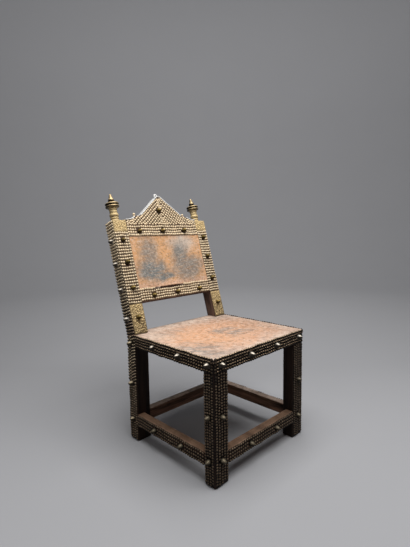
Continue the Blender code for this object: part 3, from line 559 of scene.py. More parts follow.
def seat_finish(hides):
    """The seat's hide: tan where it is sat on, greyed and stained by its edges, scratched on the left."""
    material, recipe, shader = new_finish("worn_seat_hide", Specular_IOR_Level=0.35)
    cut = recipe.attribute("cut", "Vector")
    moved = recipe.warp(cut, 11.0, 0.12)
    ragged = ragged_edge(recipe, cut, 30.0, 2.0)
    warm = recipe.blot(moved, (-0.070, -0.070), (0.180, 0.165), ragged, 0.6)
    color = recipe.mix(warm, opaque(hides.pink), opaque(hides.tan))
    glow = recipe.blot(moved, (0.12, -0.06), (0.130, 0.120), ragged, 0.7)
    color = recipe.mix(recipe.times(glow, 0.8), color, opaque(hides.tan))
    drawn = recipe.swung(cut, 0.75)
    wisps = recipe.noise(recipe.scaled(drawn, (14.0, 52.0, 1.0)), 1.0, 6.0, 0.7, 0.6)
    apart = recipe.axes(cut)
    side = recipe.math("DIVIDE", recipe.math("ABSOLUTE", apart[X]), HALF_WIDTH)
    middle = (LEG_LOW.y + POST_LOW.y) / 2
    depth = (POST_LOW.y - LEG_LOW.y) / 2
    ends = recipe.math("DIVIDE", recipe.math("ABSOLUTE", recipe.minus(apart[Y], middle)), depth)
    rim = recipe.plus(recipe.most(side, ends), recipe.times(ragged, 0.30))
    outer = recipe.span(rim, 0.66, 1.08)
    pale = recipe.times(outer, recipe.span(wisps, 0.44, 0.60, 0.1, 0.8))
    corner = recipe.blot(moved, (-0.195, 0.070), (0.055, 0.090), ragged, 0.7)
    pale = recipe.most(pale, recipe.times(corner, 0.6))
    color = recipe.mix(pale, color, opaque(hides.pale))
    greyed = recipe.times(recipe.span(wisps, 0.54, 0.38), recipe.line(outer, 0.7, 0.15))
    color = recipe.mix(greyed, color, opaque(hides.veil))
    rubbed = recipe.most(
        recipe.blot(moved, (-0.180, -0.195), (0.075, 0.085), ragged, 0.7),
        recipe.times(recipe.blot(moved, (0.170, 0.080), (0.070, 0.040), ragged, 0.8), 0.6),
        recipe.times(recipe.blot(moved, (-0.115, 0.045), (0.060, 0.035), ragged, 0.8), 0.5),
    )
    rubbed = recipe.times(rubbed, recipe.span(wisps, 0.60, 0.40, 0.15, 0.8))
    color = recipe.mix(rubbed, color, opaque(hides.grey))
    scarred = recipe.blot(moved, (0.115, -0.075), (0.130, 0.130), ragged, 0.6)
    cuts = recipe.noise(recipe.scaled(drawn, (26.0, 120.0, 1.0)), 1.0, 6.0, 0.75, 0.8)
    scarred = recipe.times(scarred, recipe.span(cuts, 0.52, 0.40, 0.0, 0.75))
    color = recipe.mix(scarred, color, opaque(hides.scar))
    streaks = recipe.most(
        recipe.blot(moved, (0.066, -0.120), (0.064, 0.028), ragged, 0.7),
        recipe.blot(moved, (0.050, -0.062), (0.052, 0.024), ragged, 0.7),
    )
    streaks = recipe.times(streaks, recipe.span(cuts, 0.58, 0.42, 0.30, 0.90))
    color = recipe.mix(streaks, color, opaque(hides.grey))
    # Painted shade: the seat darkens towards the rear, where the back shades it, and towards the sitter's
    # left
    painted_shade = recipe.most(
        recipe.span(apart[Y], -0.02, 0.10, 0.0, 0.14),
        recipe.span(apart[X], 0.06, 0.20, 0.0, 0.24),
    )
    color = recipe.mix(painted_shade, color, opaque(hides.stain))
    lip = recipe.most(
        recipe.span(apart[X], -HALF_WIDTH, -HALF_WIDTH - 0.003),
        recipe.span(apart[X], HALF_WIDTH + 0.003, HALF_WIDTH + 0.006),
        recipe.span(apart[Y], LEG_LOW.y, LEG_LOW.y - 0.003),
    )
    color = recipe.mix(lip, color, opaque([0.1 * part for part in hides.stain]))
    scratch = recipe.mix(lip, opaque(hides.pale), color)
    hide_surface(recipe, shader, cut, color, scratch, 0.5, inner_side(recipe, (0, 0, -1)), hides)
    return material


def back_finish(hides):
    """The back's hide: tan round two large patches rubbed grey, dark where it lies under the tacks."""
    material, recipe, shader = new_finish("worn_back_hide", Specular_IOR_Level=0.35)
    cut = recipe.attribute("cut", "Vector")
    moved = recipe.warp(cut, 14.0, 0.06)
    ragged = ragged_edge(recipe, cut, 26.0, 1.1)
    strokes = recipe.noise(recipe.scaled(cut, (30.0, 120.0, 1.0)), 1.0, 6.0, 0.72, 0.7)
    top = recipe.blot(moved, (0.080, 0.335), (0.062, 0.034), ragged, 0.7)
    top = recipe.times(top, recipe.span(strokes, 0.34, 0.54, 0.55, 1.0))
    color = recipe.mix(top, opaque(hides.back_tan), opaque(hides.pale))
    apart = recipe.axes(cut)
    low = recipe.span(recipe.plus(apart[Y], recipe.times(ragged, 0.010)), 0.192, 0.172)
    color = recipe.mix(recipe.times(low, 0.6), color, opaque(hides.pink))
    patches = recipe.most(
        recipe.times(recipe.blot(moved, (-0.100, 0.303), (0.040, 0.060), ragged, 0.6), 0.8),
        recipe.blot(moved, (-0.100, 0.232), (0.070, 0.044), ragged, 0.5),
        recipe.blot(moved, (-0.050, 0.205), (0.060, 0.022), ragged, 0.5),
        recipe.times(recipe.blot(moved, (0.083, 0.232), (0.080, 0.056), ragged, 0.5), 0.86),
        recipe.times(recipe.blot(moved, (0.055, 0.285), (0.044, 0.056), ragged, 0.6), 0.9),
    )
    worn_off = recipe.span(strokes, 0.66, 0.46, 0.62, 1.0)
    color = recipe.mix(recipe.times(patches, worn_off), color, opaque(hides.grey))
    under = recipe.most(
        recipe.span(recipe.math("ABSOLUTE", apart[X]), OPENING_HALF - 0.003, OPENING_HALF + 0.001),
        recipe.span(apart[Y], CREST[0].z - 0.003, CREST[0].z + 0.001),
        recipe.span(apart[Y], LOWER_RAIL[1].z, LOWER_RAIL[1].z - 0.004),
    )
    color = recipe.mix(under, color, opaque([0.3 * part for part in hides.stain]))
    level = recipe.swung(cut, 1.45, 1.5)
    hide_surface(recipe, shader, level, color, opaque(hides.pale), 0.75, inner_side(recipe, (0, 1, 0)), hides)
    return material


def white_metal_finish(metal):
    """Soft white metal with dull spots and fine scratches."""
    found = bpy.data.materials.get("white_metal")
    if found:
        return found
    material, recipe, shader = new_finish("white_metal", Metallic=0.1)
    place = recipe.object_place()
    cloud = recipe.noise(place, 70.0, 5.0, 0.6)
    fine = recipe.noise(place, 600.0, 3.0, 0.6)
    spots = recipe.span(cloud, 0.54, 0.72, 0.0, 0.4)
    recipe.feed(recipe.mix(spots, opaque(metal.white), opaque(metal.dull)), shader["Base Color"])
    recipe.feed(recipe.plus(recipe.span(cloud, 0.3, 0.7, 0.34, 0.5), recipe.times(fine, 0.1)),
                shader["Roughness"])
    recipe.feed(recipe.bump(fine, 0.2, 0.0004), shader["Normal"])
    return material


def floor_finish(stage):
    """A plain pale floor with the faint unevenness of a painted sweep."""
    material, recipe, shader = new_finish("pale_floor", Roughness=0.9, Specular_IOR_Level=0.1)
    cloud = recipe.noise(recipe.object_place(), 1.3, 3.0, 0.5)
    shade = [0.96 * part for part in stage.floor]
    recipe.feed(recipe.mix(cloud, opaque(shade), opaque(stage.floor)), shader["Base Color"])
    return material


def put(name, data):
    """A new object in the scene."""
    obj = bpy.data.objects.new(name, data)
    bpy.context.scene.collection.objects.link(obj)
    return obj


def new_mesh(name, verts, faces):
    mesh = bpy.data.meshes.new(name)
    mesh.from_pydata(verts, [], faces)
    return mesh


def clamped(value):
    return min(1.0, max(0.0, value))


def add_piece(name, mesh, node, material=None):
    """Puts a finished mesh in the scene in place of its node of the frame."""
    if material:
        mesh.materials.clear()
        mesh.materials.append(material)
    obj = put(name, mesh)
    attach(obj, "root")
    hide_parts(node)
    return obj


def face_outwards(mesh):
    bm = bmesh.new()
    bm.from_mesh(mesh)
    bmesh.ops.recalc_face_normals(bm, faces=bm.faces)
    bm.to_mesh(mesh)
    bm.free()


def soften(mesh, degrees=40):
    mesh.shade_smooth()
    mesh.set_sharp_from_angle(angle=math.radians(degrees))


def store(mesh, name, kind, values):
    """Keeps one value for each vertex, for the finishes to read."""
    layer = mesh.attributes.new(name, kind, "POINT")
    if kind == "FLOAT_VECTOR":
        layer.data.foreach_set("vector", [part for value in values for part in value])
    else:
        layer.data.foreach_set("value", values)


ARRIS_STEPS = 3  # cuts round each rounded edge of a bar
FACE_MIDS = 2  # points across each of its faces, between the two by its edges


def rounded_rectangle(u_span, v_span, radius):
    """Points round a rectangle: (u, v, outward u, outward v, 1 on an arris)."""
    (u0, u1), (v0, v1) = u_span, v_span
    corners = (
        (u1 - radius, v0 + radius, -90),
        (u1 - radius, v1 - radius, 0),
        (u0 + radius, v1 - radius, 90),
        (u0 + radius, v0 + radius, 180),
    )
    points = []
    for index, (u, v, start) in enumerate(corners):
        for step in range(ARRIS_STEPS + 1):
            angle = math.radians(start + 90 * step / ARRIS_STEPS)
            out = (math.cos(angle), math.sin(angle))
            points.append((u + radius * out[0], v + radius * out[1], *out, 1.0))
        next_u, next_v, next_start = corners[(index + 1) % 4]
        angle = math.radians(next_start)
        out = (math.cos(angle), math.sin(angle))
        begin = Vector((u + radius * out[0], v + radius * out[1]))
        end = Vector((next_u + radius * out[0], next_v + radius * out[1]))
        run = (end - begin).length
        land = min(1.5 * radius, run / 4)
        for mid in range(FACE_MIDS + 2):
            share = (land + (run - 2 * land) * mid / (FACE_MIDS + 1)) / run
            points.append((*begin.lerp(end, share), *out, 0.0))
    return points


MARKS_PER_METRE = 24.0
MARK_SHIFT = 3.7  # between the tool marks of one bar and those of the next
GRAIN_SHIFT = 0.61  # the same for the grain


def lofted(name, stations, arris, hewn, seed):
    """A closed bar through rounded rectangles, with tool marks that never stand proud.

    A station is (place, u span, v span, distance along the bar), and place turns (u, v) into a point.
    """
    verts, grain, worn = [], [], []
    for place, u_span, v_span, along in stations:
        for u, v, out_u, out_v, edge in rounded_rectangle(u_span, v_span, arris):
            mark = noise.noise(place(u, v) * MARKS_PER_METRE + Vector((seed * MARK_SHIFT, 0, 0)))
            dent = hewn * (mark - 1) / 2
            verts.append(place(u + out_u * dent, v + out_v * dent))
            grain.append((along + seed * GRAIN_SHIFT, u, v))
            worn.append(edge)
    count = len(verts) // len(stations)
    faces = [list(range(count)), list(range(len(verts) - count, len(verts)))]
    for ring in range(len(stations) - 1):
        low = ring * count
        for i in range(count):
            j = (i + 1) % count
            faces.append((low + i, low + j, low + count + j, low + count + i))
    mesh = new_mesh(name, verts, faces)
    face_outwards(mesh)
    store(mesh, "grain", "FLOAT_VECTOR", grain)
    store(mesh, "arris", "FLOAT", worn)
    soften(mesh)
    return mesh


def spaced(start, end, step):
    count = max(1, round(abs(end - start) / step))
    return [start + (end - start) * i / count for i in range(count + 1)]


RING_STEP = 0.014  # between the stations of a bar


def straight_stations(axis, start, end, u_span, v_span, matrix=Matrix.Identity(4)):
    """Stations of a straight bar along one axis of a frame. u and v are the other two axes, in order."""
    stations = []
    for along in spaced(start, end, RING_STEP):
        def place(u, v, along=along):
            point = [u, v]
            point.insert(axis, along)
            return matrix @ Vector(point)
        stations.append((place, u_span, v_span, along))
    return stations


def grown(span, amount):
    return span[0] - amount, span[1] + amount


def footed(stations, u_span, v_span, bevel):
    """The same bar with the edges that meet the floor taken off."""
    place = stations[0][0]
    lift = Vector((0, 0, bevel))
    foot = (place, grown(u_span, -bevel), grown(v_span, -bevel), 0.0)
    heel = (lambda u, v: place(u, v) + lift, u_span, v_span, bevel)
    return [foot, heel] + stations[1:]


def node_spans(node, *axes, box=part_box):
    low, high = box(node)
    return [(low[axis], high[axis]) for axis in axes]


FAR_STRETCHERS = ("rear_stretcher", "side_stretcher_left")


def add_bar(node, stations, seed, wood, arris=None):
    mesh = lofted(f"{node}_hewn", stations, arris or wood.arris, wood.hewn, seed)
    # The far stretchers, which the seat shades, get paler colours on their sides and tops as painted light
    if node in FAR_STRETCHERS:
        finish = wood_finish("sheltered_wood", wood.far_side_painted_light, wood.worn, wood.far_top_painted_light, wood)
    elif "stretcher" in node:
        finish = wood_finish("kicked_wood", wood.kicked, wood.worn, wood.dust, wood)
    else:
        finish = wood_finish("dark_wood", wood.brown, wood.brown, wood.dust, wood)
    add_piece(f"{node}_hewn", mesh, node, finish)


class CHAIR_OT_front_legs(bpy.types.Operator):
    """Hew the two front legs"""

    bl_idname = "chair.front_legs"
    bl_label = "Front Legs"

    def execute(self, context):
        wood = context.scene.chair_wood
        for seed, (name, _) in enumerate(SIDES):
            node = f"front_leg_{name}"
            u_span, v_span, height = node_spans(node, X, Y, Z)
            stations = straight_stations(Z, *height, u_span, v_span)
            add_bar(node, footed(stations, u_span, v_span, wood.foot), seed, wood)
        return {"FINISHED"}


def post_stations(u_span):
    """A post's stations: up the leg, through the mitred bend, and on along the lean."""
    v_span = (0.0, POST_DEPTH)
    clear = POST_DEPTH * math.tan(RAKE / 2)
    stations = []
    for height in spaced(0.0, SEAT_HIGH.z - 2 * clear, RING_STEP):
        stations.append((lambda u, v, z=height: Vector((u, POST_LOW.y + v, z)), u_span, v_span, height))

    def mitre(u, v):
        return Vector((u, POST_LOW.y + v, SEAT_HIGH.z - v * math.tan(RAKE / 2)))

    stations.append((mitre, u_span, v_span, SEAT_HIGH.z))
    for rise in spaced(clear, STILE_TOP, RING_STEP):
        stations.append((lambda u, v, z=rise: BACK @ Vector((u, v, z)), u_span, v_span, SEAT_HIGH.z + rise))
    return stations, v_span


class CHAIR_OT_rear_posts(bpy.types.Operator):
    """Hew the two rear posts, bent at the seat"""

    bl_idname = "chair.rear_posts"
    bl_label = "Rear Posts"

    def execute(self, context):
        wood = context.scene.chair_wood
        for seed, (name, _) in enumerate(SIDES):
            node = f"rear_post_{name}"
            u_span = node_spans(node, X)[0]
            stations, v_span = post_stations(u_span)
            add_bar(node, footed(stations, u_span, v_span, wood.foot), seed + 2, wood)
        return {"FINISHED"}


class CHAIR_OT_rails(bpy.types.Operator):
    """Hew the seat rails and the stretchers between the legs"""

    bl_idname = "chair.rails"
    bl_label = "Rails and Stretchers"

    def execute(self, context):
        wood = context.scene.chair_wood
        seed = 4
        for kind in ("seat_rail", "stretcher"):
            for node, half in ((f"front_{kind}", LEG_LOW.x), (f"rear_{kind}", OPENING_HALF)):
                spans = node_spans(node, Y, Z)
                stations = straight_stations(X, -half - LAP, half + LAP, *spans)
                add_bar(node, stations, seed, wood)
                seed += 1
            for name, _ in SIDES:
                node = f"side_{kind}_{name}"
                spans = node_spans(node, X, Z)
                stations = straight_stations(Y, LEG_HIGH.y - LAP, POST_LOW.y + LAP, *spans)
                add_bar(node, stations, seed, wood)
                seed += 1
        return {"FINISHED"}


def crest_top(x):
    """Height of the crest's upper edge above the bend of the posts, along the lean."""
    across = abs(x)
    if across <= GABLE_FOOT:
        share = max(0.0, across - GABLE_FLAT) / (GABLE_FOOT - GABLE_FLAT)
        return CREST[1].z + (KNOB_SEAT_RISE - CREST[1].z) * share
    if across <= SCOOP_START:
        return KNOB_SEAT_RISE
    share = min(1.0, (across - SCOOP_START) / (OPENING_HALF - SCOOP_START))
    return KNOB_SEAT_RISE - (KNOB_SEAT_RISE - SHOULDER_RISE) * math.sqrt(1 - (1 - share) ** 2)


def crest_stations():
    """Stations of the crest, closer together where its outline turns."""
    half = spaced(0.0, GABLE_FLAT, GABLE_FLAT) + spaced(GABLE_FLAT, GABLE_FOOT, RING_STEP)[1:]
    scoop = OPENING_HALF - SCOOP_START
    half += [SCOOP_START + scoop * share ** 2 for share in (0.0, 0.1, 0.25, 0.5, 0.75)]
    half.append(OPENING_HALF + LAP)
    stations = []
    for x in [-x for x in reversed(half[1:])] + half:
        def place(depth, rise, x=x):
            return BACK @ Vector((x, depth, rise))
        stations.append((place, (CREST[0].y, CREST[1].y), (CREST[0].z, crest_top(x)), x))
    return stations


class CHAIR_OT_back_rails(bpy.types.Operator):
    """Hew the lower back rail and the gabled crest"""

    bl_idname = "chair.back_rails"
    bl_label = "Back Rails"

    def execute(self, context):
        wood = context.scene.chair_wood
        spans = node_spans("lower_back_rail", Y, Z, box=back_box)
        half = OPENING_HALF + LAP
        add_bar("lower_back_rail", straight_stations(X, -half, half, *spans, matrix=BACK), 12, wood)
        add_bar("crest_rail", crest_stations(), 13, wood, wood.arris / 2)
        return {"FINISHED"}


RUB_LEVEL = 0.55  # how rubbed a plain stretch of a turning is
RUB_REACH = 0.004  # how far a ring stands out where it is rubbed all the way


def turned(name, profile, sides, matrix):
    """A solid turned about Z from (radius, height) pairs, foot first. A zero radius closes a pole."""
    verts, crowns, rings = [], [], []
    for index, (radius, height) in enumerate(profile):
        near = profile[max(0, index - 2):index + 3]
        mean = sum(pair[0] for pair in near) / len(near)
        crown = clamped(RUB_LEVEL + (radius - mean) / RUB_REACH)
        count = 1 if radius == 0 else sides
        rings.append(list(range(len(verts), len(verts) + count)))
        for i in range(count):
            angle = 2 * math.pi * i / sides
            verts.append((radius * math.cos(angle), radius * math.sin(angle), height))
            crowns.append(crown)
    faces = []
    for low, high in zip(rings, rings[1:]):
        for i in range(sides):
            corners = [low[i % len(low)], low[(i + 1) % len(low)]]
            corners += [high[(i + 1) % len(high)], high[i % len(high)]]
            faces.append(list(dict.fromkeys(corners)))
    faces += [ring for ring in (rings[0], rings[-1]) if len(ring) > 1]
    mesh = new_mesh(name, verts, faces)
    face_outwards(mesh)
    store(mesh, "crown", "FLOAT", crowns)
    store(mesh, "tone", "FLOAT", [0.5] * len(verts))
    soften(mesh, 50)
    mesh.transform(matrix)
    return mesh


def bead(low, height, root, reach, steps=6):
    """Part of a turned profile: a half-round ring that swells from root to reach."""
    points = []
    for step in range(steps + 1):
        angle = math.pi * step / steps
        points.append((root + (reach - root) * math.sin(angle), low + height * (1 - math.cos(angle)) / 2))
    return points


FINIAL_SIDES = 40
FINIAL_DISCS = (0.0560, 0.0666)  # lower faces of the two discs
FINIAL_POLISH, FINIAL_TOP_POLISH = 0.80, 0.28  # below the discs, and from them up


def finial_profile():
    """From the stile's top: rings, a full bead, a hollow, a collar, two discs and a drawn-out bulb."""
    neck, ring, disc = 0.0138, 0.0158, 0.0260
    profile = [(0.0, 0.0), (ring, 0.0)]
    profile += bead(0.0005, 0.0080, neck, ring) + bead(0.0095, 0.0070, neck, ring)
    profile += bead(0.0180, 0.0150, neck, 0.0172, 8)
    profile += [(0.0148, 0.0350), (0.0144, 0.0390), (0.0146, 0.0430)]
    profile += bead(0.0445, 0.0090, neck, ring)
    for low in FINIAL_DISCS:
        profile += [(0.0205, low), (0.0240, low + 0.0004), (disc, low + 0.0018), (disc, low + 0.0050)]
        profile += [(0.0240, low + 0.0068), (0.0205, low + 0.0072)]
    profile += [(0.0130, 0.0748), (0.0075, 0.0760)]
    profile += bead(0.0765, 0.0150, 0.0078, 0.0118, 8)[1:-1]
    profile += [(0.0078, 0.0930), (0.0064, 0.0985), (0.0048, 0.1050), (0.0030, 0.1095), (0.0, 0.1112)]
    return profile


class CHAIR_OT_finials(bpy.types.Operator):
    """Turn the two finials on the stiles"""

    bl_idname = "chair.finials"
    bl_label = "Finials"

    def execute(self, context):
        metal = context.scene.chair_metal
        finish = brass_finish("aged_turning", metal.yellow, metal)
        for name, _ in SIDES:
            node = f"finial_{name}"
            low, high = back_box(node)
            foot = Vector(((low.x + high.x) / 2, (low.y + high.y) / 2, STILE_TOP + FACE_CLEAR))
            place = BACK @ Matrix.Translation(foot)
            mesh = turned(f"{node}_turned", finial_profile(), FINIAL_SIDES, place)
            upright = place.inverted()
            tops = [(upright @ vert.co).z > FINIAL_DISCS[0] for vert in mesh.vertices]
            store(mesh, "polish", "FLOAT", [FINIAL_TOP_POLISH if top else FINIAL_POLISH for top in tops])
            add_piece(f"{node}_turned", mesh, node, finish)
        return {"FINISHED"}


KNOB_SIDES = 24


class CHAIR_OT_crest_knobs(bpy.types.Operator):
    """Turn the small knobs where the gable meets the shoulders"""

    bl_idname = "chair.crest_knobs"
    bl_label = "Crest Knobs"

    def execute(self, context):
        metal = context.scene.chair_metal
        finish = brass_finish("aged_knob", metal.bright, metal, 1.0)
        radius = (KNOB[1].x - KNOB[0].x) / 2
        neck = 0.0040
        stem, sunk = 0.0048, 0.0040
        steps = 10
        profile = [(0.0, -sunk), (stem, -sunk), (stem, 0.0010), (0.0043, 0.0030)]
        for step in range(1, steps):
            angle = math.radians(-60 + 150 * step / steps)
            profile.append((radius * math.cos(angle), neck + radius * (1 + math.sin(angle))))
        profile.append((0.0, neck + 2 * radius))
        for name, side in SIDES:
            foot = Vector((side * KNOB_X, (CREST[0].y + CREST[1].y) / 2, KNOB_SEAT_RISE))
            mesh = turned(f"crest_knob_{name}_turned", profile, KNOB_SIDES, BACK @ Matrix.Translation(foot))
            add_piece(f"crest_knob_{name}_turned", mesh, f"crest_knob_{name}", finish)
        return {"FINISHED"}


class CHAIR_OT_eyelet(bpy.types.Operator):
    """Bend the white metal eyelet at the tip of the gable"""

    bl_idname = "chair.eyelet"
    bl_label = "Apex Eyelet"

    def execute(self, context):
        low, high = back_box("apex_eyelet")
        outer = (high.x - low.x) / 2
        wire = 0.0028
        flattened = 0.9 * wire
        bend = outer - wire
        around, across = 32, 14
        centre = Vector((0, (low.y + high.y) / 2, high.z - outer))
        verts = []
        for i in range(around):
            angle = 2 * math.pi * i / around
            for j in range(across):
                turn = 2 * math.pi * j / across
                reach = bend + wire * math.cos(turn)
                spot = Vector((reach * math.cos(angle), flattened * math.sin(turn), reach * math.sin(angle)))
                verts.append(BACK @ (centre + spot))
        faces = []
        for i in range(around):
            for j in range(across):
                k, m = (i + 1) % around, (j + 1) % across
                faces.append((i * across + j, k * across + j, k * across + m, i * across + m))
        mesh = new_mesh("apex_eyelet_ring", verts, faces)
        face_outwards(mesh)
        mesh.shade_smooth()
        finish = white_metal_finish(context.scene.chair_metal)
        add_piece("apex_eyelet_ring", mesh, "apex_eyelet", finish)
        return {"FINISHED"}


def strip_stations(path, depth, thickness):
    """Stations of a strip that lies on a path of (across, rise) points, thickness outwards."""
    stations = []
    along = 0.0
    for index, (x, rise) in enumerate(path):
        before = Vector(path[max(0, index - 1)])
        after = Vector(path[min(len(path) - 1, index + 1)])
        run = (after - before).normalized()
        out = Vector((-run.y, run.x))
        if out.y < 0:
            out = -out
        along += (Vector((x, rise)) - before).length

        def place(u, v, x=x, rise=rise, out=out):
            return BACK @ Vector((x + out.x * v, u, rise + out.y * v))

        stations.append((place, depth, (FACE_CLEAR, FACE_CLEAR + thickness), along))
    return stations


STRIP_THICKNESS = 0.0034
STRIP_ARRIS = 0.0007
STRIP_DENTS = 0.0006
STRIP_STEP = 0.009
SLOPE_ENDS = 0.0025, GABLE_FOOT - 0.002  # how near a slope's strip comes to the tip, and to the knob
SCOOP_STEPS = 9
SCOOP_FROM = 18  # degrees round the scoop at which the shoulder's strip begins


class CHAIR_OT_edging(bpy.types.Operator):
    """Lay the white metal strips along the slopes and shoulders of the crest"""

    bl_idname = "chair.edging"
    bl_label = "Crest Edging"

    def execute(self, context):
        depth = (EDGING[0].y, EDGING[1].y)
        tip, knob = SLOPE_ENDS
        xs = [tip, GABLE_FLAT - 0.0005] + spaced(GABLE_FLAT + 0.002, knob, STRIP_STEP)
        slope = [(x, crest_top(x)) for x in xs]
        scoop = []
        for step in range(SCOOP_STEPS + 1):
            angle = math.radians(SCOOP_FROM + (90 - SCOOP_FROM) * step / SCOOP_STEPS)
            x = SCOOP_START + (OPENING_HALF - SCOOP_START) * (1 - math.cos(angle))
            scoop.append((x, KNOB_SEAT_RISE - (KNOB_SEAT_RISE - SHOULDER_RISE) * math.sin(angle)))
        finish = white_metal_finish(context.scene.chair_metal)
        for seed, (kind, path) in enumerate((("gable_edging", slope), ("shoulder_edging", scoop))):
            for name, side in SIDES:
                node = f"{kind}_{name}"
                stations = strip_stations([(side * x, rise) for x, rise in path], depth, STRIP_THICKNESS)
                mesh = lofted(f"{node}_strip", stations, STRIP_ARRIS, STRIP_DENTS, 20 + 2 * seed + side)
                add_piece(f"{node}_strip", mesh, node, finish)
        return {"FINISHED"}


def face_frame(origin, across, up, out):
    """A face's frame: its X across the face, its Y up it, and its Z out of the wood."""
    matrix = Matrix((across, up, out)).transposed().to_4x4()
    matrix.translation = origin
    return matrix


def side_frame(side):
    return face_frame((side * HALF_WIDTH, 0, 0), (0, side, 0), (0, 0, 1), (side, 0, 0))


FRONT_FACE = face_frame((0, LEG_LOW.y, 0), (1, 0, 0), (0, 0, 1), (0, -1, 0))
BACK_FACE = BACK @ face_frame((0, 0, 0), (1, 0, 0), (0, 0, 1), (0, -1, 0))


def middles(low, high, pitch):
    """Middles of the rows that fill a span, as near to that pitch as they come."""
    count = max(1, round((high - low) / pitch))
    step = (high - low) / count
    return [low + (i + 0.5) * step for i in range(count)]


def crossing_rows(box, tacks):
    """Rows that run across a face, with their heads close together."""
    (a0, b0, _), (a1, b1, _) = box
    heads = middles(a0, a1, tacks.head_pitch)
    return [(a, b) for b in middles(b0, b1, tacks.row_pitch) for a in heads]


CLOSE = 0.88  # share of a pitch where rows or heads are set close
WIDE = 1.08  # share of a pitch where heads are set a little apart


def rail_rows(box, tacks):
    """Rows along a seat rail, close above each other, with their heads a little apart."""
    (a0, b0, _), (a1, b1, _) = box
    heads = middles(a0, a1, tacks.head_pitch * WIDE)
    return [(a, b) for b in middles(b0, b1, tacks.row_pitch * CLOSE) for a in heads]


COLUMN_BEAT = 0.37  # share of a pitch, times the square of the column's number


def rising_columns(box, tacks):
    """Columns that run up a face, their heads close together and each column on its own beat."""
    (a0, b0, _), (a1, b1, _) = box
    pitch = CLOSE * tacks.head_pitch
    inset = 0.6 * tacks.head_radius
    spots = []
    for column, a in enumerate(middles(a0, a1, tacks.row_pitch)):
        beat = pitch * (COLUMN_BEAT * column * column % 1 - 0.5)
        heads = [b + beat for b in middles(b0, b1, pitch)]
        spots += [(a, b) for b in heads if b0 + inset < b < b1 - inset]
    return spots


CHEVRON_START = 0.225
CHEVRON_SLOPE = 0.75


def chevrons_and_columns(box, tacks):
    """A rear leg's side: columns below, and rows bent into chevrons from half way up."""
    (a0, b0, z0), (a1, b1, z1) = box
    spots = rising_columns(((a0, b0, z0), (a1, CHEVRON_START, z1)), tacks)
    middle = (a0 + a1) / 2
    for b in middles(CHEVRON_START, b1 + (a1 - a0) / 3, tacks.row_pitch):
        for a in middles(a0, a1, tacks.head_pitch):
            height = b - CHEVRON_SLOPE * abs(a - middle) + tacks.head_radius
            if CHEVRON_START < height < b1 - tacks.head_radius:
                spots.append((a, height))
    return spots


def fill_gaps(spots, inside, box, gap):
    """Adds a head wherever one more keeps that gap to the others, the way a tacker closes up odd corners."""
    (a0, b0, _), (a1, b1, _) = box
    taken = {}

    def cell(spot):
        return math.floor(spot[0] / gap), math.floor(spot[1] / gap)

    def crowded(spot):
        i, j = cell(spot)
        near = [other for di in (-1, 0, 1) for dj in (-1, 0, 1) for other in taken.get((i + di, j + dj), ())]
        return any(math.dist(spot, other) < gap for other in near)

    for spot in spots:
        taken.setdefault(cell(spot), []).append(spot)
    for b in spaced(b0, b1, gap / 4):
        for a in spaced(a0, a1, gap / 4):
            if inside(a, b) and not crowded((a, b)):
                taken.setdefault(cell((a, b)), []).append((a, b))
    return [spot for group in taken.values() for spot in group]


CREST_ROWS = 4  # level rows above the panel
GABLE_ROWS = range(-6, 14)  # rows below the slope's edge, and some past it
GABLE_HEADS = range(-12, 18)  # heads from the slope's foot, and some before it
GABLE_CLOSE = 0.97


def crest_rows(box, tacks):
    """The crest: level rows above the panel, then on each half a grid that follows the slope of the gable."""
    (a0, b0, _), (a1, _, _) = box
    band = b0 + CREST_ROWS * tacks.row_pitch
    reach = tacks.head_radius
    spots = crossing_rows(((a0, b0, 0), (a1, band, 0)), tacks)
    foot = Vector((GABLE_FOOT, KNOB_SEAT_RISE))
    run = (Vector((GABLE_FLAT, CREST[1].z)) - foot).normalized()
    inward = Vector((-abs(run.y), -abs(run.x)))

    def inside(a, b):
        """Whether a head there stays on the wood and clear of the level rows."""
        edge = min(crest_top(a - reach / 2), crest_top(a + reach / 2)) - 0.75 * reach
        return abs(a) < a1 - 0.9 * reach and band + 0.8 * reach < b < edge

    for row in GABLE_ROWS:
        below = reach + row * tacks.row_pitch * GABLE_CLOSE
        for head in GABLE_HEADS:
            spot = foot + run * (head + 0.5) * tacks.head_pitch + inward * below
            if spot.x > 0.85 * reach and inside(*spot):
                spots.extend([(spot.x, spot.y), (-spot.x, spot.y)])
    return fill_gaps(spots, inside, box, 1.5 * reach)


BARE_EDGE = 0.0045


def lower_rail_rows(box, tacks):
    """The lower back rail: bare along its lower edge, and above where the hide has come loose."""
    (a0, b0, z0), (a1, b1, z1) = box
    spots = crossing_rows(((a0, b0 + BARE_EDGE, z0), (a1, b1, z1)), tacks)
    top = max(b for a, b in spots)
    return [(a, b) for a, b in spots if b < top - 0.001 or not TORN_FROM < a < TORN_TO]


BOSS_TIP = 0.0002  # depth of the tips by which bosses are found
BOSSES_APART = 0.02  # points closer than this are on one boss


def boss_spots(node, inverse):
    """Middles of the bosses on a face, found as what stands highest on its node."""
    points = [inverse @ vert.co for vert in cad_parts[node].data.vertices]
    top = max(point.z for point in points)
    groups = []
    for point in points:
        if top - point.z > BOSS_TIP:
            continue
        for group in groups:
            if (group[0] - point).length < BOSSES_APART:
                group.append(point)
                break
        else:
            groups.append([point])
    return [sum(group, Vector()) / len(group) for group in groups]


def on_hide(matrix, a, b):
    """Whether a tack at that spot goes through the edge of a hide."""
    if matrix == BACK_FACE:
        low, high = BACK_HIDE
        return low.x < a < high.x and low.z < b < high.z
    return SEAT_LOW.z < b < SEAT_HIGH.z and matrix.to_3x3().col[1].z > 0.999


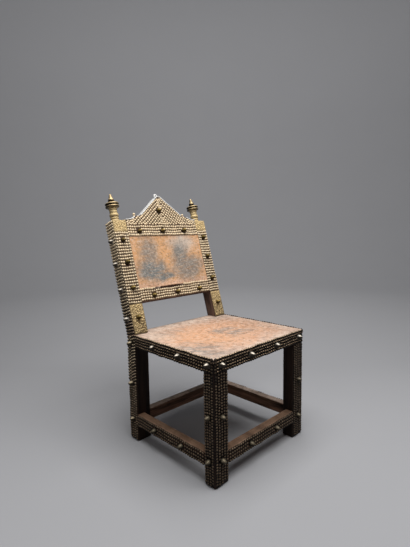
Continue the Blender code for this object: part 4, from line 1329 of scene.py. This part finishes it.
def head_mesh(name, profile, sides):
    """A closed domed head of unit size, with its crown marked for the finish."""
    mesh = turned(name, profile, sides, Matrix.Identity(4))
    mesh.attributes.remove(mesh.attributes["tone"])
    top = profile[-1][1]
    values = [clamped(vert.co.z / top) for vert in mesh.vertices]
    mesh.attributes["crown"].data.foreach_set("value", values)
    mesh.shade_smooth()
    return mesh


# Profiles of a head and a boss, as shares of their radius and height
HEAD_PROFILE = ((1.0, -0.15), (0.94, 0.45), (0.62, 0.83), (0.0, 1.0))
BOSS_PROFILE = (
    (1.0, -0.07), (1.0, 0.06), (0.95, 0.24), (0.85, 0.46),
    (0.70, 0.67), (0.50, 0.84), (0.26, 0.96), (0.0, 1.0),
)
HEAD_SIDES = 10
BOSS_SIDES = 20


def helper_object(name, profile, sides):
    found = bpy.data.objects.get(name)
    if found:
        return found
    obj = put(name, head_mesh(name, profile, sides))
    obj.hide_render = True
    return obj


STUD_INPUTS = (
    ("Head", "NodeSocketObject"),
    ("Boss", "NodeSocketObject"),
    ("Head Radius", "NodeSocketFloat"),
    ("Head Height", "NodeSocketFloat"),
    ("Boss Radius", "NodeSocketFloat"),
    ("Boss Height", "NodeSocketFloat"),
    ("Wander", "NodeSocketFloat"),
    ("Tilt", "NodeSocketFloat"),
    ("Size Spread", "NodeSocketFloat"),
    ("Seed", "NodeSocketInt"),
    ("Finish", "NodeSocketMaterial"),
)


def stud_tree():
    """Sets a head or a boss on each marked point, keeps the sheet under them, and makes it one mesh."""
    found = bpy.data.node_groups.get("stud_rows")
    if found:
        return found
    tree = bpy.data.node_groups.new("stud_rows", "GeometryNodeTree")
    tree.interface.new_socket("Geometry", in_out="INPUT", socket_type="NodeSocketGeometry")
    for label, kind in STUD_INPUTS:
        tree.interface.new_socket(label, in_out="INPUT", socket_type=kind)
    tree.interface.new_socket("Geometry", in_out="OUTPUT", socket_type="NodeSocketGeometry")
    recipe = Recipe(tree)
    given = recipe.node("NodeGroupInput").outputs
    kind = recipe.node("GeometryNodeInputNamedAttribute", {"Name": "stud"}, data_type="FLOAT").outputs[0]

    def draw(low, high, shift, vector=False):
        """A random value for each stud."""
        seed = recipe.plus(given["Seed"], shift)
        data_type = "FLOAT_VECTOR" if vector else "FLOAT"
        made = recipe.node("FunctionNodeRandomValue", data_type=data_type)
        first = 0 if vector else 2
        recipe.feed(low, made.inputs[first])
        recipe.feed(high, made.inputs[first + 1])
        recipe.feed(seed, made.inputs["Seed"])
        return made.outputs[0 if vector else 1]

    def triple(x, y, z):
        return recipe.node("ShaderNodeCombineXYZ", {0: x, 1: y, 2: z}).outputs[0]

    def negative(value):
        return recipe.times(value, -1.0)

    is_stud = recipe.math("GREATER_THAN", kind, 0.5)
    is_boss = recipe.math("GREATER_THAN", kind, 1.5)
    apart = recipe.node("GeometryNodeSeparateGeometry", {"Geometry": given["Geometry"], "Selection": is_stud})
    stray = given["Wander"]
    offset = draw(triple(negative(stray), negative(stray), 0.0), triple(stray, stray, 0.0), 1, True)
    inputs = {"Geometry": apart.outputs[0], "Offset": offset}
    placed = recipe.node("GeometryNodeSetPosition", inputs).outputs[0]
    lean = given["Tilt"]
    turn = draw(triple(negative(lean), negative(lean), -math.pi), triple(lean, lean, math.pi), 2, True)
    turned_by = recipe.node("FunctionNodeEulerToRotation", {0: turn}).outputs[0]
    spread = given["Size Spread"]
    size = draw(recipe.minus(1.0, spread), recipe.plus(1.0, spread), 3)
    join = recipe.node("GeometryNodeJoinGeometry")
    for label, chosen in (("Head", recipe.minus(1.0, is_boss)), ("Boss", is_boss)):
        shape = recipe.node("GeometryNodeObjectInfo", {"Object": given[label]}).outputs["Geometry"]
        radius, height = given[f"{label} Radius"], given[f"{label} Height"]
        scale = recipe.node("ShaderNodeVectorMath", {0: triple(radius, radius, height)}, operation="SCALE")
        recipe.feed(size, scale.inputs["Scale"])
        inputs = {"Points": placed, "Selection": chosen, "Instance": shape}
        inputs.update({"Rotation": turned_by, "Scale": scale.outputs[0]})
        studs = recipe.node("GeometryNodeInstanceOnPoints", inputs).outputs[0]
        inputs = {"Geometry": studs, "Name": "tone", "Value": draw(0.0, 1.0, 4)}
        toned = recipe.node("GeometryNodeStoreNamedAttribute", inputs, data_type="FLOAT", domain="INSTANCE")
        tree.links.new(toned.outputs[0], join.inputs[0])
    tree.links.new(apart.outputs[1], join.inputs[0])
    whole = recipe.node("GeometryNodeRealizeInstances", {"Geometry": join.outputs[0]}).outputs[0]
    inputs = {"Geometry": whole, "Material": given["Finish"]}
    finished = recipe.node("GeometryNodeSetMaterial", inputs).outputs[0]
    recipe.node("NodeGroupOutput", {0: finished})
    return tree


SHEET_CROWN = 0.3  # how clean of grime the sheet between embossed dots is
PLAIN, HEAD, BOSS = 0.0, 1.0, 2.0  # what stands on a point


def studded(name, verts, faces, studs, polish, values):
    """A mesh of studs, and of the sheet that they stand on if it has faces, made by the stud tree."""
    mesh = new_mesh(name, verts, faces)
    if faces:
        face_outwards(mesh)
    store(mesh, "stud", "FLOAT", studs)
    store(mesh, "polish", "FLOAT", polish)
    store(mesh, "crown", "FLOAT", [SHEET_CROWN] * len(verts))
    helper = put(name, mesh)
    modifier = helper.modifiers.new("studs", "NODES")
    modifier.node_group = stud_tree()
    for socket in modifier.node_group.interface.items_tree:
        if socket.in_out == "INPUT" and socket.name in values:
            modifier[socket.identifier] = values[socket.name]
    graph = bpy.context.evaluated_depsgraph_get()
    made = bpy.data.meshes.new_from_object(helper.evaluated_get(graph), depsgraph=graph)
    helper.modifiers.clear()
    bpy.data.objects.remove(helper)
    made.name = name
    return made


def stud_values(tacks, finish, seed):
    return {
        "Head": helper_object("tack_head", HEAD_PROFILE, HEAD_SIDES),
        "Boss": helper_object("boss_head", BOSS_PROFILE, BOSS_SIDES),
        "Head Radius": tacks.head_radius,
        "Head Height": tacks.head_height,
        "Boss Radius": tacks.boss_radius,
        "Boss Height": tacks.boss_height,
        "Wander": tacks.wander,
        "Tilt": tacks.tilt,
        "Size Spread": tacks.spread,
        "Seed": tacks.seed + seed,
        "Finish": finish,
    }


BOSS_POLISH = {
    "front_rail": 0.70,
    "side_rail": 0.70,
    "stile_side": 1.0,
    "rear_leg": 0.42,
    "stile_foot": 0.23,
    "stile_front": 0.23,
    "crest": 0.28,
    "lower_rail": 0.28,
}
LOW_BOSS_POLISH = 0.165  # on the front legs and the stretchers


def boss_polish(node):
    """Bosses are dull on the front of the back and low down, and rubbed, with a larger painted glint, on the
    seat rails and stile sides.
    """
    for place, polish in BOSS_POLISH.items():
        if node.startswith(place):
            return polish
    return LOW_BOSS_POLISH


CORNER_REACH = 0.0095  # how near to the corner heads are darkened
CORNER_RISE = 0.32  # from this height up
CORNER_POLISH = 0.3


def corner_share(matrix, a, b):
    """The polish left on a tack: by the seat, heads near the outer corners of the front legs are darkened."""
    spot = matrix @ Vector((a, b, 0.0))
    near = math.hypot(abs(spot.x) - HALF_WIDTH, spot.y - LEG_LOW.y) < CORNER_REACH
    return CORNER_POLISH if near and spot.z > CORNER_RISE else 1.0


ROW_STRAY = 0.0011  # how far a row swings


def hand_set(a, b, seed):
    """Where a tack really sits, because rows set by eye swing a little about their lines.

    Each way has one wave about 100 mm long and a lesser one about half as long.
    """
    swing = math.sin(68 * a + 21 * b + seed) + 0.6 * math.sin(129 * a - 37 * b + 2 * seed)
    lean = math.sin(59 * b - 17 * a + 3 * seed) + 0.6 * math.sin(113 * b + 43 * a + seed)
    return a + 0.4 * ROW_STRAY * lean, b + 0.6 * ROW_STRAY * swing


def add_tacks(node, matrix, layout, polish, grow, seed, context):
    """Fills the face under one of the frame's tack fields with heads, and sets its bosses.

    grow lowers and raises the ends of the field, so that fields meet where the frame leaves them apart.
    """
    tacks = context.scene.chair_tacks
    metal = context.scene.chair_metal
    inverse = matrix.inverted()
    bosses = boss_spots(node, inverse)
    clear = 1.15 * tacks.boss_radius
    verts, studs, shine = [], [], []
    low, high = polish
    box = box_in(inverse, node)
    box[0].y -= grow[0]
    box[1].y += grow[1]
    for a, b in (hand_set(a, b, seed) for a, b in layout(box, tacks)):
        if any(math.hypot(a - boss.x, b - boss.y) < clear for boss in bosses):
            continue
        verts.append((a, b, HIDE_LIFT if on_hide(matrix, a, b) else 0.0))
        studs.append(HEAD)
        share = low + (high - low) * (b - box[0].y) / (box[1].y - box[0].y)
        shine.append(share * corner_share(matrix, a, b))
    for boss in bosses:
        verts.append((boss.x, boss.y, 0.0))
        studs.append(BOSS)
        shine.append(boss_polish(node))
    finish = brass_finish("aged_tacks", metal.bright, metal)
    name = f"{node}_heads"
    mesh = studded(name, verts, [], studs, shine, stud_values(tacks, finish, seed))
    mesh.transform(matrix)
    add_piece(name, mesh, node)


class CHAIR_OT_tacks(bpy.types.Operator):
    """Drive the rows of small tacks and the larger bosses"""

    bl_idname = "chair.tacks"
    bl_label = "Tacks and Bosses"

    def execute(self, context):
        still = (0.0, 0.0)
        # Each field: its face, how its heads are laid, polish at its foot and top, and how far its ends grow
        fields = [
            ("crest_tacks", BACK_FACE, crest_rows, (1.0, 0.85), still),
            ("lower_rail_tacks", BACK_FACE, lower_rail_rows, (0.72, 0.80), still),
            ("front_rail_tacks", FRONT_FACE, rail_rows, (0.17, 0.21), (0.0, 0.003)),
            ("front_stretcher_tacks", FRONT_FACE, crossing_rows, (0.10, 0.13), still),
        ]
        for name, side in SIDES:
            flank = side_frame(side)
            back_flank = BACK @ flank
            fields += [
                (f"front_leg_front_tacks_{name}", FRONT_FACE, rising_columns, (0.075, 0.105), still),
                (f"front_leg_side_tacks_{name}", flank, rising_columns, (0.075, 0.105), still),
                (f"rear_leg_side_tacks_{name}", flank, chevrons_and_columns, (0.12, 0.34), (0.0, 0.010)),
                (f"side_rail_tacks_{name}", flank, rail_rows, (0.18, 0.23), (0.0, 0.003)),
                (f"side_stretcher_tacks_{name}", flank, crossing_rows, (0.10, 0.13), still),
                (f"stile_front_tacks_{name}", BACK_FACE, crossing_rows, (0.58, 0.88), still),
                (f"stile_side_tacks_{name}", back_flank, crossing_rows, (0.16, 0.90), (0.006, 0.0)),
            ]
        for seed, (node, matrix, layout, polish, grow) in enumerate(fields):
            add_tacks(node, matrix, layout, polish, grow, 10 * seed, context)
        return {"FINISHED"}


def plate_sheet(box, thickness, corner):
    """A thin plate with rounded edges, as vertices and faces in its face's frame."""
    (a0, b0, _), (a1, b1, _) = box
    verts = []
    levels = ((FACE_CLEAR, 0.0), (FACE_CLEAR + thickness - corner, 0.0), (FACE_CLEAR + thickness, corner))
    for out, inset in levels:
        verts += [(a0 + inset, b0 + inset, out), (a1 - inset, b0 + inset, out)]
        verts += [(a1 - inset, b1 - inset, out), (a0 + inset, b1 - inset, out)]
    faces = [(0, 1, 2, 3), (8, 9, 10, 11)]
    for low in (0, 4):
        for i in range(4):
            j = (i + 1) % 4
            faces.append((low + i, low + j, low + 4 + j, low + 4 + i))
    return verts, faces


# Each kind of plate: its polish at the foot and at the top, and how far it hangs below its face
PLATES = (("top_plate", 1.0, 1.0, 0.0), ("foot_plate", 0.48, 0.80, 0.003))
PLATE_THICKNESS = 0.0012
PLATE_CORNER = 0.0004
PLATE_SEED = 500
DOT_JITTER = 0.4  # share of the pitch by which dots stray
DOT_SPREAD = 0.35  # share by which dots differ in size


class CHAIR_OT_plates(bpy.types.Operator):
    """Lay the embossed sheet plates on the stile fronts"""

    bl_idname = "chair.plates"
    bl_label = "Stile Plates"

    def execute(self, context):
        tacks = context.scene.chair_tacks
        metal = context.scene.chair_metal
        finish = brass_finish("aged_sheet", metal.yellow, metal)
        inverse = BACK_FACE.inverted()
        draw = random.Random(tacks.seed)
        pitch = 1.85 * tacks.dot_radius
        margin = 1.2 * tacks.dot_radius

        def stray():
            return draw.uniform(-DOT_JITTER, DOT_JITTER) * pitch

        seed = PLATE_SEED
        for kind, low, high, drop in PLATES:
            for name, _ in SIDES:
                node = f"stile_{kind}_{name}"
                box = box_in(inverse, node)
                box[0].y -= drop
                bosses = boss_spots(node, inverse) if kind == "foot_plate" else []
                verts, faces = plate_sheet(box, PLATE_THICKNESS, PLATE_CORNER)
                studs = [PLAIN] * len(verts)
                for b in middles(box[0].y + margin, box[1].y - margin, pitch):
                    for a in middles(box[0].x + margin, box[1].x - margin, pitch):
                        spot = (a + stray(), b + stray())
                        if any(math.dist(spot, boss.xy) < tacks.boss_radius for boss in bosses):
                            continue
                        verts.append((*spot, FACE_CLEAR + PLATE_THICKNESS))
                        studs.append(HEAD)
                for boss in bosses:
                    verts.append((boss.x, boss.y, FACE_CLEAR))
                    studs.append(BOSS)
                rise = box[1].y - box[0].y
                shine = [low + (high - low) * (vert[1] - box[0].y) / rise for vert in verts]
                shine = [boss_polish(node) if stud == BOSS else share for stud, share in zip(studs, shine)]
                values = stud_values(tacks, finish, seed)
                values.update({"Head Radius": tacks.dot_radius, "Head Height": tacks.dot_height})
                values.update({"Size Spread": DOT_SPREAD, "Wander": 0.0})
                mesh = studded(f"{node}_embossed", verts, faces, studs, shine, values)
                mesh.transform(BACK_FACE)
                add_piece(f"{node}_embossed", mesh, node)
                seed += 10
        return {"FINISHED"}


def folded(distance, radius):
    """Where a sheet goes that bends down over an edge: how far out, and how far down."""
    if distance <= 0:
        return distance, 0.0
    quarter = radius * math.pi / 2
    if distance < quarter:
        return radius * math.sin(distance / radius), radius * (1 - math.cos(distance / radius))
    return radius, radius + distance - quarter


def sheet_mesh(name, rows, keep, cut_of):
    """A sheet from rows of points, without the cells that keep leaves out, with its flat pattern stored."""
    width = len(rows[0])
    verts = [point for row in rows for point in row]
    faces = []
    for j in range(len(rows) - 1):
        for i in range(width - 1):
            if keep(i, j):
                faces.append((j * width + i, j * width + i + 1, (j + 1) * width + i + 1, (j + 1) * width + i))
    mesh = new_mesh(name, verts, faces)
    store(mesh, "cut", "FLOAT_VECTOR", [cut_of(i, j) for j in range(len(rows)) for i in range(width)])
    bm = bmesh.new()
    bm.from_mesh(mesh)
    loose = [vert for vert in bm.verts if not vert.link_faces]
    bmesh.ops.delete(bm, geom=loose, context="VERTS")
    bm.to_mesh(mesh)
    bm.free()
    mesh.shade_smooth()
    return mesh


def thicken(obj, thickness):
    """Gives a sheet its thickness behind the side that shows."""
    modifier = obj.modifiers.new("thickness", "SOLIDIFY")
    modifier.thickness = thickness
    modifier.offset = -1.0


def marked_steps(marks, step):
    """Grid lines through all the marks, about one step apart."""
    lines = [marks[0]]
    for start, end in zip(marks, marks[1:]):
        lines += spaced(start, end, step)[1:]
    return lines


def ripple(waves, x, y):
    """A sum of slow waves: each has its numbers per metre both ways, its layer and its depth."""
    return sum(
        noise.noise(Vector((x * across, y * along, layer))) * depth for across, along, layer, depth in waves
    )


SEAT_STEP = 0.0085  # between the grid lines of the seat's hide
SEAT_WAVES = ((9, 9, 3.1, 0.0008), (34, 34, 8.2, 0.0003))


class CHAIR_OT_seat_hide(bpy.types.Operator):
    """Stretch the seat's hide over its rails and turn its edges down"""

    bl_idname = "chair.seat_hide"
    bl_label = "Seat Hide"

    def execute(self, context):
        hides = context.scene.chair_hides
        bend, lip = hides.bend, hides.lip
        edge = HALF_WIDTH + HIDE_LIFT - bend
        front = LEG_LOW.y - HIDE_LIFT + bend
        turn = bend * math.pi / 2 + lip - bend
        neck = OPENING_HALF - 2 * FACE_CLEAR
        waist = POST_LOW.y - 2 * FACE_CLEAR
        rear = SEAT_HIGH.y
        arc = bend * math.pi / 2
        outer = [edge, edge + arc / 3, edge + 2 * arc / 3, edge + arc, edge + turn]
        between = marked_steps([-edge, -neck, 0.0, neck, edge], SEAT_STEP)[1:-1]
        xs = [-x for x in reversed(outer)] + between + outer
        ys = [front - turn, front - arc, front - 2 * arc / 3, front - arc / 3]
        ys += marked_steps([front, LEG_HIGH.y, waist], SEAT_STEP) + spaced(waist, rear, SEAT_STEP)[1:]
        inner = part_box("side_seat_rail_left")[0].x
        back_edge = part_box("rear_seat_rail")[0].y
        front_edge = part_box("front_seat_rail")[1].y

        def hollow(x, y):
            """How far the hide sags, and how it puckers at its tacked edges."""
            across = max(0.0, 1 - (x / inner) ** 2)
            share = (y - front_edge) / (back_edge - front_edge)
            along = max(0.0, 4 * share * (1 - share)) if 0 < share < 1 else 0.0
            low = hides.sag * math.sqrt(across * along)
            return low + abs(ripple(SEAT_WAVES, x, y)) * min(1.0, 4 * across * along + 0.15)

        rows = []
        for y in ys:
            out_y, drop_y = folded(front - y, bend)
            row = []
            for x in xs:
                out_x, drop_x = folded(abs(x) - edge, bend)
                place_x = math.copysign(edge + out_x, x)
                dip = hollow(x, y) if out_x <= 0 and out_y <= 0 else 0.0
                row.append(Vector((place_x, front - out_y, SEAT_HIGH.z - max(drop_x, drop_y) - dip)))
            rows.append(row)

        def keep(i, j):
            x, y = (xs[i] + xs[i + 1]) / 2, (ys[j] + ys[j + 1]) / 2
            at_corner = abs(x) > edge + arc and y < front - arc
            beside_post = abs(x) > neck and y > waist
            return not at_corner and not beside_post

        mesh = sheet_mesh("seat_hide_leather", rows, keep, lambda i, j: (xs[i], ys[j], 0.0))
        obj = add_piece("seat_hide_leather", mesh, "seat_hide", seat_finish(hides))
        thicken(obj, hides.thickness)
        return {"FINISHED"}


BACK_STEP = 0.006  # between the upright grid lines of the back's hide
BACK_ROWS = 44
BACK_WAVES = ((11, 11, 5.0, 0.0011), (40, 26, 9.0, 0.0004))
BACK_SLACK = 0.0012
TORN_RUN = 0.03  # along which the torn edge comes free
CURL_RUN = 0.022  # up which the torn edge curls
RAGGED_CUT = 0.0015


class CHAIR_OT_back_hide(bpy.types.Operator):
    """Stretch the back's hide over its opening, with its lower edge loose in the middle"""

    bl_idname = "chair.back_hide"
    bl_label = "Back Hide"

    def execute(self, context):
        hides = context.scene.chair_hides
        low, high = BACK_HIDE
        rail_top = LOWER_RAIL[1].z
        xs = spaced(low.x, high.x, BACK_STEP)

        def loose(x):
            """1 where the lower edge is free, 0 where it is tacked."""
            share = clamped(min(x - TORN_FROM, TORN_TO - x) / TORN_RUN)
            return share * share * (3 - 2 * share)

        def point(x, share):
            free = loose(x)
            edge = rail_top - TORN_LAP + RAGGED_CUT * noise.noise(Vector((x * 50, 0, 1)))
            bottom = low.z + free * (edge - low.z)
            rise = bottom + (high.z - bottom) * share
            near = max(0.0, 1 - (rise - bottom) / CURL_RUN)
            curl = free * TORN_CURL * near * near
            middle = max(0.0, 1 - (x / OPENING_HALF) ** 2) * max(0.0, 4 * share * (1 - share))
            depth = low.y - curl + (ripple(BACK_WAVES, x, rise) + BACK_SLACK) * math.sqrt(middle)
            return (x, depth, rise)

        cuts = [[point(x, j / BACK_ROWS) for x in xs] for j in range(BACK_ROWS + 1)]
        rows = [[BACK @ Vector(spot) for spot in row] for row in cuts]
        mesh = sheet_mesh(
            "back_hide_leather", rows, lambda i, j: True, lambda i, j: (cuts[j][i][0], cuts[j][i][2], 0.0)
        )
        obj = add_piece("back_hide_leather", mesh, "back_hide", back_finish(hides))
        thicken(obj, hides.thickness)
        return {"FINISHED"}


# The camera, as found from the photograph: its place, the way it looks and its own up
CAMERA_PLACE = (-1.0056, -1.0405, 0.7653)
CAMERA_LOOK = (0.69536, 0.71056, -0.10755)
CAMERA_UP = (0.08665, 0.06567, 0.99407)
SENSOR_WIDTH = 36.0

# The round floor, the curve that lifts it into a wall, and the cuts along and round it
FLOOR_REACH = 4.0
SWEEP_RADIUS = 3.0
WALL_TOP = 8.0
SWEEP_STEPS = 12
SWEEP_SIDES = 64

# Each lamp's place, what it points at, and its size
LAMPS = {
    "key": ((-0.05, -0.60, 2.70), (-0.05, -0.30, 0.0), 2.3),
    "fill": ((-2.4, -0.6, 1.7), (0.0, 0.0, 0.45), 1.6),
    "wall": ((0.9, 0.9, 4.2), (6.0, 6.0, 3.2), 2.5),
}


class CHAIR_OT_stage(bpy.types.Operator):
    """Set the pale floor, the soft lamps and the camera"""

    bl_idname = "chair.stage"
    bl_label = "Stage"

    def add_sweep(self, stage):
        """A round floor that curves up into a wall on every side."""
        sides = SWEEP_SIDES
        profile = [(FLOOR_REACH / 2, 0.0), (FLOOR_REACH, 0.0)]
        for step in range(1, SWEEP_STEPS + 1):
            angle = math.radians(90 * step / SWEEP_STEPS)
            rise = SWEEP_RADIUS * (1 - math.cos(angle))
            profile.append((FLOOR_REACH + SWEEP_RADIUS * math.sin(angle), rise))
        profile.append((FLOOR_REACH + SWEEP_RADIUS, WALL_TOP))
        verts = [(0.0, 0.0, 0.0)]
        for radius, height in profile:
            for i in range(sides):
                angle = 2 * math.pi * i / sides
                verts.append((radius * math.cos(angle), radius * math.sin(angle), height))
        faces = [(0, 1 + i, 1 + (i + 1) % sides) for i in range(sides)]
        for ring in range(len(profile) - 1):
            low = 1 + ring * sides
            for i in range(sides):
                j = (i + 1) % sides
                faces.append((low + i, low + sides + i, low + sides + j, low + j))
        mesh = new_mesh("floor_sweep", verts, faces)
        mesh.materials.append(floor_finish(stage))
        mesh.shade_smooth()
        put("floor_sweep", mesh)

    def add_lamp(self, name, place, target, size, power):
        data = bpy.data.lights.new(name, "AREA")
        data.shape = "SQUARE"
        data.size = size
        data.energy = power
        lamp = put(name, data)
        lamp.location = place
        lamp.rotation_euler = (Vector(target) - Vector(place)).to_track_quat("-Z", "Y").to_euler()

    def add_camera(self, scene, stage):
        data = bpy.data.cameras.new("camera")
        data.sensor_width = SENSOR_WIDTH
        data.lens = stage.lens
        camera = put("camera", data)
        look = Vector(CAMERA_LOOK).normalized()
        right = look.cross(Vector(CAMERA_UP)).normalized()
        up = right.cross(look)
        turn = Matrix((right, up, -look)).transposed()
        camera.matrix_world = Matrix.Translation(CAMERA_PLACE) @ turn.to_4x4()
        scene.camera = camera

    def execute(self, context):
        scene = context.scene
        stage = scene.chair_stage
        self.add_sweep(stage)
        for name, (place, target, size) in LAMPS.items():
            self.add_lamp(f"{name}_lamp", place, target, size, getattr(stage, name))
        world = bpy.data.worlds.new("studio")
        world.use_nodes = True
        sky = world.node_tree.nodes["Background"].inputs
        sky["Color"].default_value = (1.0, 1.0, 1.0, 1.0)
        sky["Strength"].default_value = stage.sky
        scene.world = world
        scene.view_settings.view_transform = "Standard"
        self.add_camera(scene, stage)
        return {"FINISHED"}


SETTINGS = (
    ("chair_wood", ChairWood),
    ("chair_tacks", ChairTacks),
    ("chair_metal", ChairMetal),
    ("chair_hides", ChairHides),
    ("chair_stage", ChairStage),
)
OPERATORS = (
    CHAIR_OT_stage,
    CHAIR_OT_front_legs,
    CHAIR_OT_rear_posts,
    CHAIR_OT_rails,
    CHAIR_OT_back_rails,
    CHAIR_OT_seat_hide,
    CHAIR_OT_back_hide,
    CHAIR_OT_tacks,
    CHAIR_OT_plates,
    CHAIR_OT_finials,
    CHAIR_OT_crest_knobs,
    CHAIR_OT_eyelet,
    CHAIR_OT_edging,
)


class CHAIR_PT_panel(bpy.types.Panel):
    """Lists the pieces of the chair and what can be changed on them"""

    bl_idname = "CHAIR_PT_panel"
    bl_label = "Asipim Chair"
    bl_space_type = "VIEW_3D"
    bl_region_type = "UI"
    bl_category = "Chair"

    def draw(self, context):
        layout = self.layout
        for operator in OPERATORS:
            layout.operator(operator.bl_idname)
        for name, group in SETTINGS:
            box = layout.box()
            box.label(text=group.__doc__)
            for key in group.__annotations__:
                box.prop(getattr(context.scene, name), key)


def register():
    for name, group in SETTINGS:
        bpy.utils.register_class(group)
        setattr(bpy.types.Scene, name, PointerProperty(type=group))
    for operator in OPERATORS:
        bpy.utils.register_class(operator)
    bpy.utils.register_class(CHAIR_PT_panel)


def unregister():
    bpy.utils.unregister_class(CHAIR_PT_panel)
    for operator in reversed(OPERATORS):
        bpy.utils.unregister_class(operator)
    for name, group in reversed(SETTINGS):
        delattr(bpy.types.Scene, name)
        bpy.utils.unregister_class(group)


def main():
    register()
    bpy.ops.chair.stage()
    bpy.ops.chair.front_legs()
    bpy.ops.chair.rear_posts()
    bpy.ops.chair.rails()
    bpy.ops.chair.back_rails()
    bpy.ops.chair.seat_hide()
    bpy.ops.chair.back_hide()
    bpy.ops.chair.tacks()
    bpy.ops.chair.plates()
    bpy.ops.chair.finials()
    bpy.ops.chair.crest_knobs()
    bpy.ops.chair.eyelet()
    bpy.ops.chair.edging()
    for name in ("tack_head", "boss_head"):
        bpy.data.objects.remove(bpy.data.objects[name])


if __name__ == "__main__":
    main()
